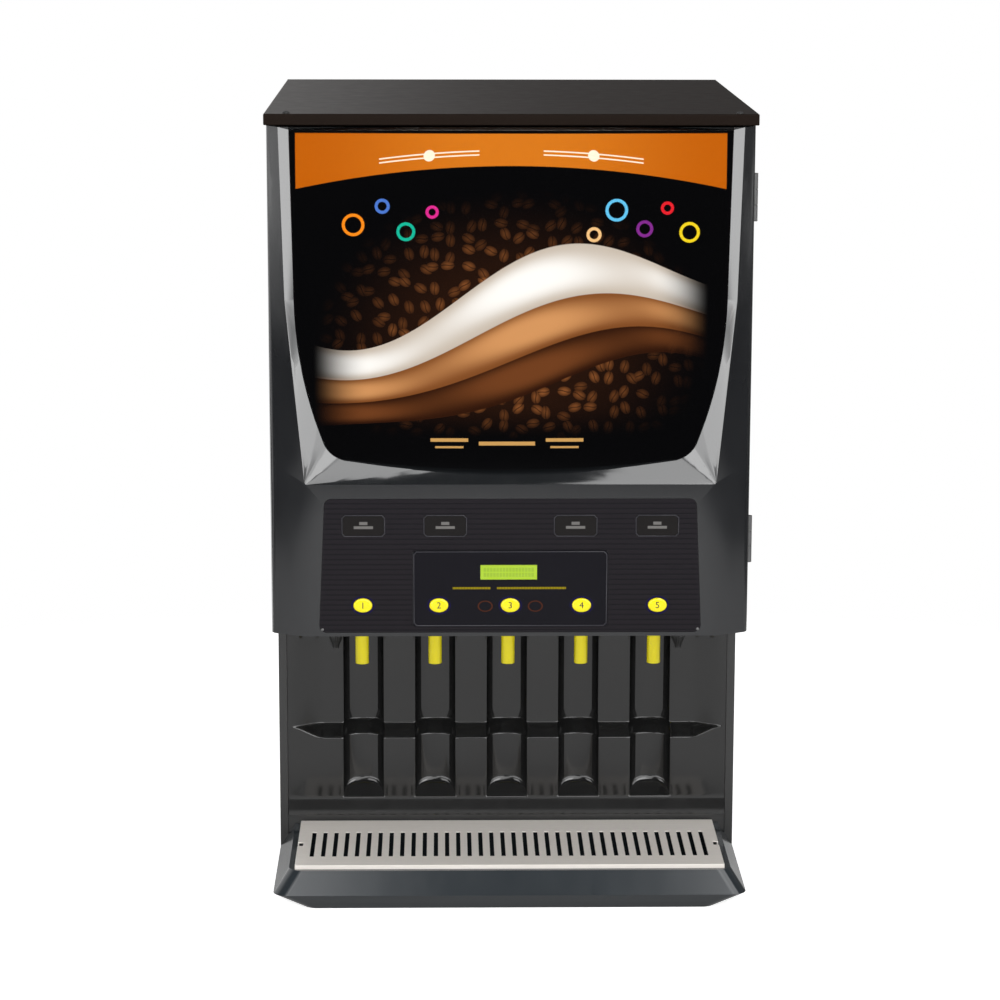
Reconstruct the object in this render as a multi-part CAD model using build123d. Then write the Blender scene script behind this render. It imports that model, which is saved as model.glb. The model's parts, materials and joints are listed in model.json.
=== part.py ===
from build123d import *
import math
import os

# Countertop cappuccino dispenser with five powder stations, in millimetres.
# X is right, Y is back and Z is up. The origin is on the counter, under the middle of the whole object.

# Overall sizes
WIDTH = 520.0
HEIGHT = 870.0
BODY_DEPTH = 580.0          # front of the drip tray to the rear cover
INLET_PROUD = 16.0          # water inlet behind the rear cover
SHEET = 1.5                 # cabinet panels
FIT = 0.3                   # gap at a seat
RUNNING = 0.08              # radial clearance of a shaft in its bore
SHAFT_CLEAR = 2.0           # around a shaft that passes through a sheet

# Planes from front to back
TRAY_PROUD = 34.0           # drip tray in front of the door
DOOR_DEPTH = 70.0
DOOR_GAP = 2.0
BASE_SETBACK = 150.0        # lower cabinet behind the door's front
FRONT_Y = -(BODY_DEPTH + INLET_PROUD) / 2
REAR_Y = FRONT_Y + BODY_DEPTH
REAR_INNER_Y = REAR_Y - SHEET
DOOR_FRONT_Y = FRONT_Y + TRAY_PROUD
DOOR_BACK_Y = DOOR_FRONT_Y + DOOR_DEPTH
CABINET_FRONT_Y = DOOR_BACK_Y + DOOR_GAP
BASE_FRONT_Y = DOOR_FRONT_Y + BASE_SETBACK

# Levels from the counter up
FOOT_HEIGHT = 12.0
HOOD_Z = 304.0              # underside of the door and of the hood
LIP_HEIGHT = 12.0           # turned-down edge of the top cover
LIP_GAP = 2.0
SHELF_Z = 485.0             # top of the hopper shelf
TOP_INNER_Z = HEIGHT - SHEET
DOOR_TOP_Z = HEIGHT - LIP_HEIGHT - LIP_GAP
FLOOR_Z = FOOT_HEIGHT + SHEET
HOOD_FLOOR_Z = HOOD_Z + 2 * SHEET

# Cabinet
FLANGE = 9.5                # turned-in front edges of the side panels
COVER_OVERHANG = 1.8        # top cover outside the side panels
COVER_FRONT = 2.0           # top cover in front of the door
FOOT_RADIUS = 18.0
FOOT_TAPER = 3.0
FOOT_INSET_X = 42.0
FOOT_INSET_Y = 40.0
LOUVRE_LENGTH = 70.0
LOUVRE_HEIGHT = 5.0
LOUVRE_PITCH = 14.0
LOUVRE_COUNT = 8
LOUVRE_INSET = 150.0        # middle of a louvre field from the cabinet's side
LOUVRE_DROP = 250.0         # lowest louvre below the top
INNER_HALF = WIDTH / 2 - SHEET
LOUVRE_X = WIDTH / 2 - LOUVRE_INSET
LOUVRE_Z = HEIGHT - LOUVRE_DROP

# Stations
STATIONS = 5
STATION_MARGIN = 55.0       # beside the outer stations
NOZZLE_SETBACK = 112.0      # nozzles behind the door's front
NOZZLE_Y = DOOR_FRONT_Y + NOZZLE_SETBACK
PITCH = (WIDTH - 2 * STATION_MARGIN) / STATIONS
STATION_X = [(i - (STATIONS - 1) / 2) * PITCH for i in range(STATIONS)]

# Splash panel
SPLASH_WALL = 2.5
SPLASH_BOTTOM_Z = 57.0
GROOVE_FLOOR_Z = 78.0       # front edge of a groove's floor
GROOVE_RISE = 15.0          # floor's rise towards the back of a groove
SHOULDER_LOW_Z = 148.0
SHOULDER_HIGH_Z = 161.0
SHOULDER_STEP = 18.0        # upper wall behind the lower one
GROOVE_RADIUS = 24.0
GROOVE_MOUTH = 6.0          # rounding where a groove meets the flat
SPLASH_EDGE = 4.0           # plain strip at each side
SPLASH_SWEEP = 30.0         # length of the curve from the strip to the upper wall
SPLASH_HALF = WIDTH / 2 - FLANGE - FIT
SPLASH_TOP_Z = HOOD_Z + SHEET
SPLASH_BACK_Y = BASE_FRONT_Y + SHOULDER_STEP + GROOVE_RADIUS + 2 * SPLASH_WALL
THUMB_BESIDE = 31.0         # beyond the outer stations
THUMB_SETBACK = 158.0
THUMB_RADIUS = 8.0
THUMB_TIP_RADIUS = 3.5
THUMB_SHANK = 3.0
THUMB_TOP_Z = 272.0
THUMB_TIP_Z = 252.0
THUMB_X = STATION_X[-1] + THUMB_BESIDE

# Drip tray and grille
TRAY_TOP_Z = 46.5
TRAY_WAIST_Z = 20.0
TRAY_TOP_INSET = 17.0       # top and foot inside the widest line
TRAY_FOOT_INSET = 32.0
TRAY_TOP_FRONT = 7.0        # top edge behind the widest line
TRAY_FOOT_FRONT = 18.0
TRAY_CORNER = 16.0
TRAY_WALL = 4.0
TRAY_FLOOR = 3.0
TRAY_RIM = 6.0              # ledge that carries the grille
TAB_WIDTH = 24.0
TAB_THICK = 4.0
TAB_LENGTH = 9.0
TAB_INSET = 110.0
TAB_Z = 30.0
GRILLE_INSET = 7.0
GRILLE_SHEET = 1.2
GRILLE_TOP_Z = 51.0
GRILLE_SKIRT = 7.0
SLOT_MARGIN = 17.0
SLOT_PITCH = 12.5
SLOT_WIDTH = 4.7
SLOT_LENGTH = 90.0
SLOT_FROM_FRONT = 32.0
NOTCH_WIDTH = 6.0
NOTCH_LENGTH = 12.0
TRAY_TOP_HALF = WIDTH / 2 - TRAY_TOP_INSET
TRAY_FOOT_HALF = WIDTH / 2 - TRAY_FOOT_INSET
TAB_X = WIDTH / 2 - TAB_INSET
GRILLE_HALF = TRAY_TOP_HALF - GRILLE_INSET
SLOT_COUNT = math.floor(2 * (GRILLE_HALF - SLOT_MARGIN) / SLOT_PITCH) + 1
TRAY_BACK_Y = BASE_FRONT_Y - FIT
GRILLE_FRONT_Y = FRONT_Y + TRAY_TOP_FRONT + TRAY_RIM
GRILLE_BACK_Y = TRAY_BACK_Y - TRAY_WALL

# Door shell
COLUMN_BOTTOM = 36.0        # width of a side column at the bottom, waist, shoulder and top
COLUMN_WAIST = 38.0
COLUMN_SHOULDER = 18.5
COLUMN_TOP = 13.3
CREASE_WAIST_Z = 472.0
SIDE_BEVEL = 18.0           # how far the side columns fall back
COLUMN_ROUND = 10.0
DOOR_WALL = 4.0
DOOR_FRONT_WALL = 12.0
POCKET_INSET = 22.0         # hollow behind the front wall
POCKET_STEP = 34.0          # depth at which the hollow widens
LINER_SHEET = 1.2
CREASE_HALF_BOTTOM = WIDTH / 2 - COLUMN_BOTTOM
CREASE_HALF_WAIST = WIDTH / 2 - COLUMN_WAIST
CREASE_HALF_SHOULDER = WIDTH / 2 - COLUMN_SHOULDER
CREASE_HALF_TOP = WIDTH / 2 - COLUMN_TOP
POCKET_HALF = WIDTH / 2 - POCKET_INSET

# Window lens
LENS_INSET_TOP = 11.2       # width of the bevel beside the lens at the top, shoulder and low corner
LENS_INSET_SHOULDER = 10.0
LENS_INSET_LOW = 28.0
LENS_LOW_Z = 500.0
LENS_BOTTOM_Z = 488.0
LENS_TOP_MARGIN = 4.0
LENS_CORNER = 26.0
LENS_THICK = 3.0
LENS_BOW = 9.0              # middle in front of the side edges
LENS_GAP = 0.5
WINDOW_BEVEL = 10.0         # window seat behind the door's front
BEVEL_CORNER = 3.0
LENS_HALF_TOP = CREASE_HALF_TOP - LENS_INSET_TOP
LENS_HALF_SHOULDER = CREASE_HALF_SHOULDER - LENS_INSET_SHOULDER
LENS_HALF_LOW = CREASE_HALF_WAIST - LENS_INSET_LOW
CREASE_SHOULDER_Z = (LENS_BOTTOM_Z + DOOR_TOP_Z) / 2

# Light box and lamps
BOX_WALL = 2.0
BOX_DEPTH = 46.0
BOX_BOTTOM_Z = 479.0
LAMP_INSET = 128.0          # lamp axis from the pocket's side
LAMP_RADIUS = 8.0
LAMP_SETBACK = 28.0         # lamp axis in front of the box's back wall
HOLDER_WIDTH = 24.0
HOLDER_HEIGHT = 14.0
HOLDER_INSET = 10.0
LAMP_X = POCKET_HALF - LAMP_INSET

# Controls
PANEL_BOTTOM_Z = 308.5
PANEL_TOP_Z = 456.0
PANEL_INSET_TOP = 21.0      # inside the door's creases
PANEL_INSET_BOTTOM = 16.5
PANEL_CORNER = 8.0
PANEL_DEPTH = 3.0           # recess in the door for the overlay
PANEL_GAP = 0.4
MODULE_BESIDE = 95.5        # overlay beside the display module
MODULE_BOTTOM_Z = 315.0
MODULE_TOP_Z = 399.0
MODULE_PROUD = 1.0
MODULE_CORNER = 3.0
MODULE_RIM = 3.0
MODULE_RIM_DEPTH = 0.6
LCD_X = -1.7
LCD_Z = 375.0
LCD_WIDTH = 61.4
LCD_HEIGHT = 16.2
LCD_SUNK = 0.6
LABEL_INSET_OUTER = 42.0    # from the overlay's side, and from the module's
LABEL_INSET_INNER = 35.0
LABEL_Z = 426.5
LABEL_WIDTH = 46.0
LABEL_HEIGHT = 23.0
LABEL_SUNK = 0.6
BUTTON_INSET_OUTER = 47.5   # from the overlay's side, and from the module's
BUTTON_INSET_INNER = 28.0
BUTTON_Z = 338.5
BUTTON_HALF_WIDTH = 10.3
BUTTON_HALF_HEIGHT = 7.8
BUTTON_END = 5.8            # radius of the oval's ends
BUTTON_PROUD = 2.2          # crown in front of the door's front plane
BUTTON_CROWN = 0.8
BUTTON_TRAVEL = 1.5
BUTTON_STEM = 3.0
BOARD_INSET = 22.5
BOARD_THICK = 1.6
BOARD_STANDOFF = 8.0
BOARD_BOTTOM_Z = 316.0
BOARD_TOP_Z = 400.0
POST_RADIUS = 3.0
POST_INSET = 7.0
SWITCH_HALF = 3.5
PANEL_HALF_TOP = CREASE_HALF_WAIST - PANEL_INSET_TOP
PANEL_HALF_BOTTOM = CREASE_HALF_BOTTOM - PANEL_INSET_BOTTOM
MODULE_HALF = PANEL_HALF_TOP - MODULE_BESIDE
BOARD_HALF = PANEL_HALF_BOTTOM - BOARD_INSET
LABEL_OUTER, LABEL_INNER = PANEL_HALF_TOP - LABEL_INSET_OUTER, MODULE_HALF - LABEL_INSET_INNER
LABEL_X = [-LABEL_OUTER, -LABEL_INNER, LABEL_INNER, LABEL_OUTER]
BUTTON_OUTER, BUTTON_INNER = PANEL_HALF_BOTTOM - BUTTON_INSET_OUTER, MODULE_HALF - BUTTON_INSET_INNER
BUTTON_X = [-BUTTON_OUTER, -BUTTON_INNER, 0.0, BUTTON_INNER, BUTTON_OUTER]

# Hinges and catch
HINGE_RISE = 93.0           # lower hinge above the hood, upper one below the door's top
HINGE_DROP = 81.0
HINGE_HEIGHT = 52.0
KNUCKLE_RADIUS = 4.0
KNUCKLE_OUT = 4.5           # pin axis outside the cabinet
HINGE_PIN = 1.7
LEAF_THICK = 1.5
LEAF_WIDTH = 26.0
KNUCKLE_GAP = 0.5
LEAF_CLEAR = KNUCKLE_RADIUS + KNUCKLE_GAP
HINGE_X = WIDTH / 2 + KNUCKLE_OUT
HINGE_Y = DOOR_BACK_Y + DOOR_GAP / 2
CATCH_WIDTH = 13.0
CATCH_DEPTH = 16.0
CATCH_HEIGHT = 60.0
CATCH_GAP = 0.8
HINGE_LOW_Z = HOOD_Z + HINGE_RISE
HINGE_HIGH_Z = DOOR_TOP_Z - HINGE_DROP
CATCH_Z = (HOOD_Z + DOOR_TOP_Z) / 2

# Mixing station: bulkhead, bowl, whipper, nozzle and motor
BULKHEAD_SETBACK = 194.0
BULKHEAD_Y = DOOR_FRONT_Y + BULKHEAD_SETBACK
BULKHEAD_BACK_Y = BULKHEAD_Y + SHEET
CHAMBER_Z = 352.0
CHAMBER_RADIUS = 24.0
BOWL_WALL = 3.0
CHAMBER_FRONT = 22.0        # chamber in front of the nozzle
BOWL_FLANGE = 30.0
BOWL_GAP = 12.0             # between neighbouring rims
BOWL_RIM_Z = 440.0
BOWL_NECK = 16.0
BOWL_BEHIND = 4.0           # bowl axis behind the nozzle
SPIGOT_RADIUS = 5.4
SPIGOT_BORE = 4.0
SPIGOT_TIP_Z = 266.0
TIP_RADIUS = 7.6
TIP_BORE = 4.6
TIP_GAP = 0.1
TIP_TOP_Z = 300.0
TIP_BOTTOM_Z = 246.0
NOZZLE_HOLE = 11.0
BARB_RADIUS = 4.0
BARB_BORE = 2.6
BARB_Z = 412.0
BARB_LENGTH = 42.0
BARB_GRIP = 14.0            # length of tube pushed over a barb
TUBE_WALL = 2.0
TUBE_BEND = 25.0
TUBE_HOLE = 8.0
MIXER_SHAFT = 3.0
MIXER_SHAFT_LENGTH = 42.0
MIXER_RADIUS = 22.0
MIXER_LENGTH = 60.0
MIXER_CAP = 14.0
WHIP_HUB = 6.0
WHIP_RADIUS = 18.0
WHIP_DISC = 3.0
WHIP_BLADES = 6
WHIP_BLADE_LENGTH = 20.0
WHIP_BLADE_THICK = 2.0
WHIP_NOSE = 16.0
BOWL_Y = NOZZLE_Y + BOWL_BEHIND
BOWL_RADIUS = (PITCH - BOWL_GAP) / 2
MIXER_END_Y = BULKHEAD_BACK_Y + MIXER_LENGTH

# Hopper, auger, elbow and gear motor
HOPPER_GAP = 5.0
HOPPER_WALL = 2.5
HOPPER_FRONT_SETBACK = 138.0
HOPPER_ROOM = 334.0         # depth that the machine needs in front of the hoppers and behind them
HOPPER_HEADROOM = 64.0      # hopper's rim below the top
HOPPER_SHOULDER = 52.0      # above the auger axis
AUGER_RISE = 21.5           # auger axis above the shelf
AUGER_RADIUS = 15.5
AUGER_SHAFT = 4.5
AUGER_PITCH = 48.0
FLIGHT_THICK = 2.5
FLIGHT_ROOT = 1.0           # flight sunk into the shaft
FLIGHT_FACETS = 12          # flats in one turn of the flight
TROUGH_RADIUS = 17.0
OUTLET_LENGTH = 28.0
SKID_HALF = 15.0
SKID_HEIGHT = 8.0
LID_HEIGHT = 10.0
LID_GRIP = 26.0
ELBOW_WALL = 2.2
ELBOW_ROOM = 23.0           # chute between the outlet's end and the elbow's cap
ELBOW_SPOUT = 13.0
ELBOW_DROP = 52.0
ELBOW_BACK = 2.0
HUB_RADIUS = 7.0
GEAR_SHAFT = 4.0
GEAR_SHAFT_LENGTH = 30.0
GEAR_WIDTH = 56.0
GEAR_LENGTH = 38.0
GEAR_MOTOR_RADIUS = 18.0
GEAR_MOTOR_LENGTH = 30.0
MOTOR_WALL_GAP = 22.0       # motor wall behind the hoppers
MOTOR_WALL_HEIGHT = 64.0
HOPPER_HALF = (PITCH - HOPPER_GAP) / 2
HOPPER_LENGTH = BODY_DEPTH - HOPPER_ROOM
HOPPER_TOP_Z = HEIGHT - HOPPER_HEADROOM
HOPPER_FRONT_Y = DOOR_FRONT_Y + HOPPER_FRONT_SETBACK
HOPPER_BACK_Y = HOPPER_FRONT_Y + HOPPER_LENGTH
OUTLET_END_Y = HOPPER_FRONT_Y - OUTLET_LENGTH
AUGER_Z = SHELF_Z + AUGER_RISE
TROUGH_OUTER = TROUGH_RADIUS + HOPPER_WALL
MOTOR_WALL_Y = HOPPER_BACK_Y + MOTOR_WALL_GAP
MOTOR_WALL_BACK_Y = MOTOR_WALL_Y + SHEET

# Water system
TANK_INSET = 74.0           # tank from the cabinet's side
TANK_HEIGHT = 326.0
TANK_WALL = 1.5
TANK_ROUND = 16.0
TANK_SHARE = 0.35           # share of the space behind the mixers that the tank fills
TANK_AHEAD = 0.3            # share of it in front of the tank
TANK_TOP_Z = FLOOR_Z + TANK_HEIGHT
TANK_HALF = WIDTH / 2 - TANK_INSET
TANK_DEPTH = TANK_SHARE * (REAR_INNER_Y - MIXER_END_Y)
TANK_FRONT_Y = MIXER_END_Y + TANK_AHEAD * (REAR_INNER_Y - MIXER_END_Y)
VALVE_HALF = 13.0
VALVE_DEPTH = 30.0
VALVE_DROP = 39.5           # valve's foot below the tank's top
VALVE_HEIGHT = 28.0
COIL_RADIUS = 12.0
COIL_HEIGHT = 34.0
ELEMENT_PLUG = 16.0
ELEMENT_FLANGE = 23.0
ELEMENT_FLANGE_THICK = 6.0
ELEMENT_ROD = 4.0
ELEMENT_SPACING = 9.0
ELEMENT_LENGTH = 250.0
ELEMENT_TERMINAL = 12.0
INLET_INSET = 80.0          # inlet and gland from the cabinet's sides
INLET_Z = 76.0
INLET_RADIUS = 5.55         # quarter-inch flare thread
INLET_COLLAR = 11.0
INLET_COLLAR_THICK = 6.0
INLET_NUT = 9.0
INLET_NUT_THICK = 4.0
INLET_BORE = 3.0
GLAND_RADIUS = 8.0
GLAND_COLLAR = 11.0
GLAND_COLLAR_THICK = 3.0
GLAND_LENGTH = 14.0
GLAND_BORE = 4.5
VALVE_Y = TANK_FRONT_Y - VALVE_DEPTH / 2
VALVE_Z = TANK_TOP_Z - VALVE_DROP
INLET_X = WIDTH / 2 - INLET_INSET
GLAND_X = -INLET_X


def block(x0, x1, y0, y1, z0, z1):
    """A box given by its six faces."""
    return Pos((x0 + x1) / 2, (y0 + y1) / 2, (z0 + z1) / 2) * Box(x1 - x0, y1 - y0, z1 - z0)


def rod_y(x, z, radius, y0, y1):
    """A cylinder along Y."""
    return Pos(x, (y0 + y1) / 2, z) * Rot(90, 0, 0) * Cylinder(radius, y1 - y0)


def rod_z(x, y, radius, z0, z1):
    """A cylinder along Z."""
    return Pos(x, y, (z0 + z1) / 2) * Cylinder(radius, z1 - z0)


def front_plane(y):
    """A plane at depth y whose sketch axes are X and Z, facing forward."""
    return Plane(origin=(0, y, 0), x_dir=(1, 0, 0), z_dir=(0, -1, 0))


def front_plate(outline, y_front, y_back):
    """An outline drawn in X and Z, extruded from y_back forward to y_front."""
    return extrude(front_plane(y_back) * outline, amount=y_back - y_front)


def side_plate(outline, x0, x1):
    """An outline drawn in Y and Z, extruded from x0 to x1."""
    plane = Plane(origin=(x0, 0, 0), x_dir=(0, 1, 0), z_dir=(1, 0, 0))
    return extrude(plane * outline, amount=x1 - x0)


def group(solids):
    """Separate solids that share one node."""
    return Compound([piece for solid in solids for piece in solid.solids()])


# Cabinet panels

def side_panel(side):
    """A side sheet with turned-in front edges; side is -1 on the left and 1 on the right."""
    outline = Polygon(
        (BASE_FRONT_Y, FOOT_HEIGHT), (REAR_INNER_Y, FOOT_HEIGHT), (REAR_INNER_Y, TOP_INNER_Z),
        (CABINET_FRONT_Y, TOP_INNER_Z), (CABINET_FRONT_Y, HOOD_Z), (BASE_FRONT_Y, HOOD_Z), align=None)
    panel = side_plate(outline, INNER_HALF, WIDTH / 2)
    edge = WIDTH / 2 - FLANGE
    panel += block(edge, WIDTH / 2, BASE_FRONT_Y, BASE_FRONT_Y + SHEET, FOOT_HEIGHT, HOOD_Z)
    panel += block(edge, WIDTH / 2, CABINET_FRONT_Y, CABINET_FRONT_Y + SHEET, HOOD_Z, TOP_INNER_Z)
    panel += block(edge, WIDTH / 2, CABINET_FRONT_Y, BASE_FRONT_Y + SHEET, HOOD_Z, HOOD_Z + SHEET)
    panel += block(edge, WIDTH / 2, REAR_INNER_Y - SHEET, REAR_INNER_Y, FOOT_HEIGHT, TOP_INNER_Z)
    return panel if side > 0 else mirror(panel, Plane.YZ)


def base_pan():
    """The floor sheet, with an upstand in front that takes the tray's tabs, and one at the rear."""
    front = BASE_FRONT_Y + SHEET
    back = REAR_INNER_Y - SHEET
    upstand_top = SPLASH_BOTTOM_Z - FIT
    pan = block(-INNER_HALF, INNER_HALF, front, back, FOOT_HEIGHT, FLOOR_Z)
    pan += block(-INNER_HALF, INNER_HALF, front, front + SHEET, FOOT_HEIGHT, upstand_top)
    pan += block(-INNER_HALF, INNER_HALF, back - SHEET, back, FOOT_HEIGHT, upstand_top)
    for x in (-TAB_X, TAB_X):
        half = TAB_WIDTH / 2 + FIT
        pan -= block(x - half, x + half, front, front + SHEET, TAB_Z - FIT, TAB_Z + TAB_THICK + FIT)
    return pan


def rubber_feet():
    """Four tapered feet under the base pan."""
    foot = Cone(FOOT_RADIUS - FOOT_TAPER, FOOT_RADIUS, FOOT_HEIGHT)
    x = WIDTH / 2 - FOOT_INSET_X
    places = [(sx, y) for sx in (-x, x) for y in (BASE_FRONT_Y + FOOT_INSET_Y, REAR_Y - FOOT_INSET_Y)]
    return group([Pos(px, py, FOOT_HEIGHT / 2) * foot for px, py in places])


def rear_cover():
    """The back sheet with two fields of louvre slots and holes for the inlet and the gland."""
    cover = block(-WIDTH / 2, WIDTH / 2, REAR_INNER_Y, REAR_Y, FOOT_HEIGHT, TOP_INNER_Z)
    slot = Box(LOUVRE_LENGTH, 4 * SHEET, LOUVRE_HEIGHT)
    for x in (-LOUVRE_X, LOUVRE_X):
        for row in range(LOUVRE_COUNT):
            cover -= Pos(x, REAR_Y, LOUVRE_Z + row * LOUVRE_PITCH) * slot
    cover -= rod_y(INLET_X, INLET_Z, INLET_RADIUS + FIT, REAR_Y - 2 * SHEET, REAR_Y + SHEET)
    cover -= rod_y(GLAND_X, INLET_Z, GLAND_RADIUS + FIT, REAR_Y - 2 * SHEET, REAR_Y + SHEET)
    return cover


def top_cover():
    """The lid: a sheet with a lip turned down at the front and at both sides."""
    half = WIDTH / 2 + COVER_OVERHANG
    front = DOOR_FRONT_Y - COVER_FRONT
    lip_z = HEIGHT - LIP_HEIGHT
    cover = block(-half, half, front, REAR_Y, lip_z, HEIGHT)
    inner = half - SHEET
    return cover - block(-inner, inner, front + SHEET, REAR_Y + SHEET, lip_z - SHEET, TOP_INNER_Z)


def bulkhead():
    """The inner wall that carries the mixers, with the hood floor that the nozzles pass through."""
    hood = HOOD_Z + SHEET
    sheet = block(-INNER_HALF, INNER_HALF, CABINET_FRONT_Y + SHEET, BULKHEAD_BACK_Y, hood, HOOD_FLOOR_Z)
    sheet += block(-INNER_HALF, INNER_HALF, BULKHEAD_Y, BULKHEAD_BACK_Y, hood, SHELF_Z - SHEET)
    for x in STATION_X:
        sheet -= rod_z(x, NOZZLE_Y, NOZZLE_HOLE, HOOD_Z, HOOD_FLOOR_Z + SHEET)
        sheet -= rod_y(x, CHAMBER_Z, MIXER_SHAFT + SHAFT_CLEAR, BULKHEAD_Y - SHEET, BULKHEAD_BACK_Y + SHEET)
        sheet -= rod_y(x, BARB_Z, TUBE_HOLE, BULKHEAD_Y - SHEET, BULKHEAD_BACK_Y + SHEET)
    for x in (-THUMB_X, THUMB_X):
        sheet -= rod_z(x, DOOR_FRONT_Y + THUMB_SETBACK, THUMB_SHANK + FIT, HOOD_Z, HOOD_FLOOR_Z + SHEET)
    return sheet


def hopper_shelf():
    """The shelf under the hoppers, turned up behind them into the motor wall."""
    shelf = block(-INNER_HALF, INNER_HALF, BULKHEAD_Y, MOTOR_WALL_BACK_Y, SHELF_Z - SHEET, SHELF_Z)
    wall_top = SHELF_Z + MOTOR_WALL_HEIGHT
    shelf += block(-INNER_HALF, INNER_HALF, MOTOR_WALL_Y, MOTOR_WALL_BACK_Y, SHELF_Z - SHEET, wall_top)
    for x in STATION_X:
        shelf -= rod_y(x, AUGER_Z, HUB_RADIUS + SHAFT_CLEAR, MOTOR_WALL_Y - SHEET, MOTOR_WALL_BACK_Y + SHEET)
    return shelf


# Splash panel

def splash_plan(step, shift, grooved):
    """Plan of the room behind the panel's surface; step is the wall's setback, shift the sheet's depth."""
    wall_y = BASE_FRONT_Y + step + shift
    edge_y = BASE_FRONT_Y + shift
    radius = GROOVE_RADIUS + shift
    mouth = GROOVE_MOUTH - shift
    centre_y = BASE_FRONT_Y + step
    reach = math.sqrt((radius + mouth) ** 2 - (wall_y + mouth - centre_y) ** 2)
    turn = radius / (radius + mouth)
    touch_x = reach * turn
    touch_y = centre_y + (wall_y + mouth - centre_y) * turn
    outer = SPLASH_HALF - SPLASH_EDGE
    inner = outer - SPLASH_SWEEP
    edges = [
        Line((-SPLASH_HALF, edge_y), (-outer, edge_y)),
        Spline((-outer, edge_y), (-inner, wall_y), tangents=((1, 0), (1, 0))),
    ]
    last = (-inner, wall_y)
    for x in STATION_X if grooved else []:
        start, low = (x - reach, wall_y), (x - touch_x, touch_y)
        high, end = (x + touch_x, touch_y), (x + reach, wall_y)
        edges += [
            Line(last, start),
            TangentArc(start, low, tangent=(1, 0)),
            ThreePointArc(low, (x, centre_y + radius), high),
            TangentArc(end, high, tangent=(-1, 0)),
        ]
        last = end
    edges += [
        Line(last, (inner, wall_y)),
        Spline((inner, wall_y), (outer, edge_y), tangents=((1, 0), (1, 0))),
        Line((outer, edge_y), (SPLASH_HALF, edge_y)),
        Polyline((SPLASH_HALF, edge_y), (SPLASH_HALF, SPLASH_BACK_Y),
                 (-SPLASH_HALF, SPLASH_BACK_Y), (-SPLASH_HALF, edge_y)),
    ]
    return make_face(Curve() + edges)


def groove_floor(shift):
    """The room below the sloped floors that close the grooves at the bottom."""
    slope = GROOVE_RISE / GROOVE_RADIUS
    front_z = GROOVE_FLOOR_Z - shift * math.hypot(1, slope)
    back_z = front_z + slope * (SPLASH_BACK_Y - BASE_FRONT_Y)
    wedge = side_plate(Polygon(
        (BASE_FRONT_Y, SPLASH_BOTTOM_Z), (SPLASH_BACK_Y, SPLASH_BOTTOM_Z), (SPLASH_BACK_Y, back_z),
        (BASE_FRONT_Y, front_z), align=None), -SPLASH_HALF, SPLASH_HALF)
    plain = splash_plan(0, shift, False)
    return wedge & extrude(Pos(0, 0, SPLASH_BOTTOM_Z) * plain, amount=back_z - SPLASH_BOTTOM_Z)


def splash_room(shift):
    """Everything behind the panel's surface, moved back by shift."""
    rise = SHOULDER_HIGH_Z - SHOULDER_LOW_Z
    drop = shift * (math.hypot(SHOULDER_STEP, rise) - rise) / SHOULDER_STEP
    low_z = SHOULDER_LOW_Z - drop
    high_z = SHOULDER_HIGH_Z - drop
    low = splash_plan(0, shift, True)
    high = splash_plan(SHOULDER_STEP, shift, True)
    room = extrude(Pos(0, 0, SPLASH_BOTTOM_Z) * low, amount=low_z - SPLASH_BOTTOM_Z)
    room += groove_floor(shift)
    room += loft([Pos(0, 0, low_z) * low, Pos(0, 0, high_z) * high], ruled=True)
    room += extrude(Pos(0, 0, high_z) * high, amount=SPLASH_TOP_Z - SPLASH_WALL - high_z)
    return room


def splash_panel():
    """One formed sheet: five cup grooves, a sloped shoulder and a flange under the hood."""
    panel = splash_room(0) - splash_room(SPLASH_WALL)
    panel += block(-SPLASH_HALF, SPLASH_HALF, BASE_FRONT_Y, SPLASH_BACK_Y,
                   SPLASH_TOP_Z - SPLASH_WALL, SPLASH_TOP_Z)
    for x in (-THUMB_X, THUMB_X):
        panel -= rod_z(x, DOOR_FRONT_Y + THUMB_SETBACK, THUMB_SHANK + FIT,
                       SPLASH_TOP_Z - 2 * SPLASH_WALL, SPLASH_TOP_Z + SPLASH_WALL)
    return panel


def thumb_screws():
    """Two hand screws that hold the splash panel up under the hood floor."""
    screws = []
    for x in (-THUMB_X, THUMB_X):
        y = DOOR_FRONT_Y + THUMB_SETBACK
        head = Pos(x, y, (THUMB_TOP_Z + THUMB_TIP_Z) / 2) * Cone(
            THUMB_TIP_RADIUS, THUMB_RADIUS, THUMB_TOP_Z - THUMB_TIP_Z)
        screws.append(head + rod_z(x, y, THUMB_SHANK, THUMB_TOP_Z, HOOD_FLOOR_Z + SHEET))
    return group(screws)


# Drip tray and grille

def tray_plan(half, front, z):
    """Plan of the tray at a level: square at the back, rounded at the front corners."""
    plan = Polygon((-half, TRAY_BACK_Y), (-half, front), (half, front), (half, TRAY_BACK_Y), align=None)
    corners = plan.vertices().sort_by(Axis.Y)[:2]
    return Pos(0, 0, z) * fillet(corners, TRAY_CORNER)


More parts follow.
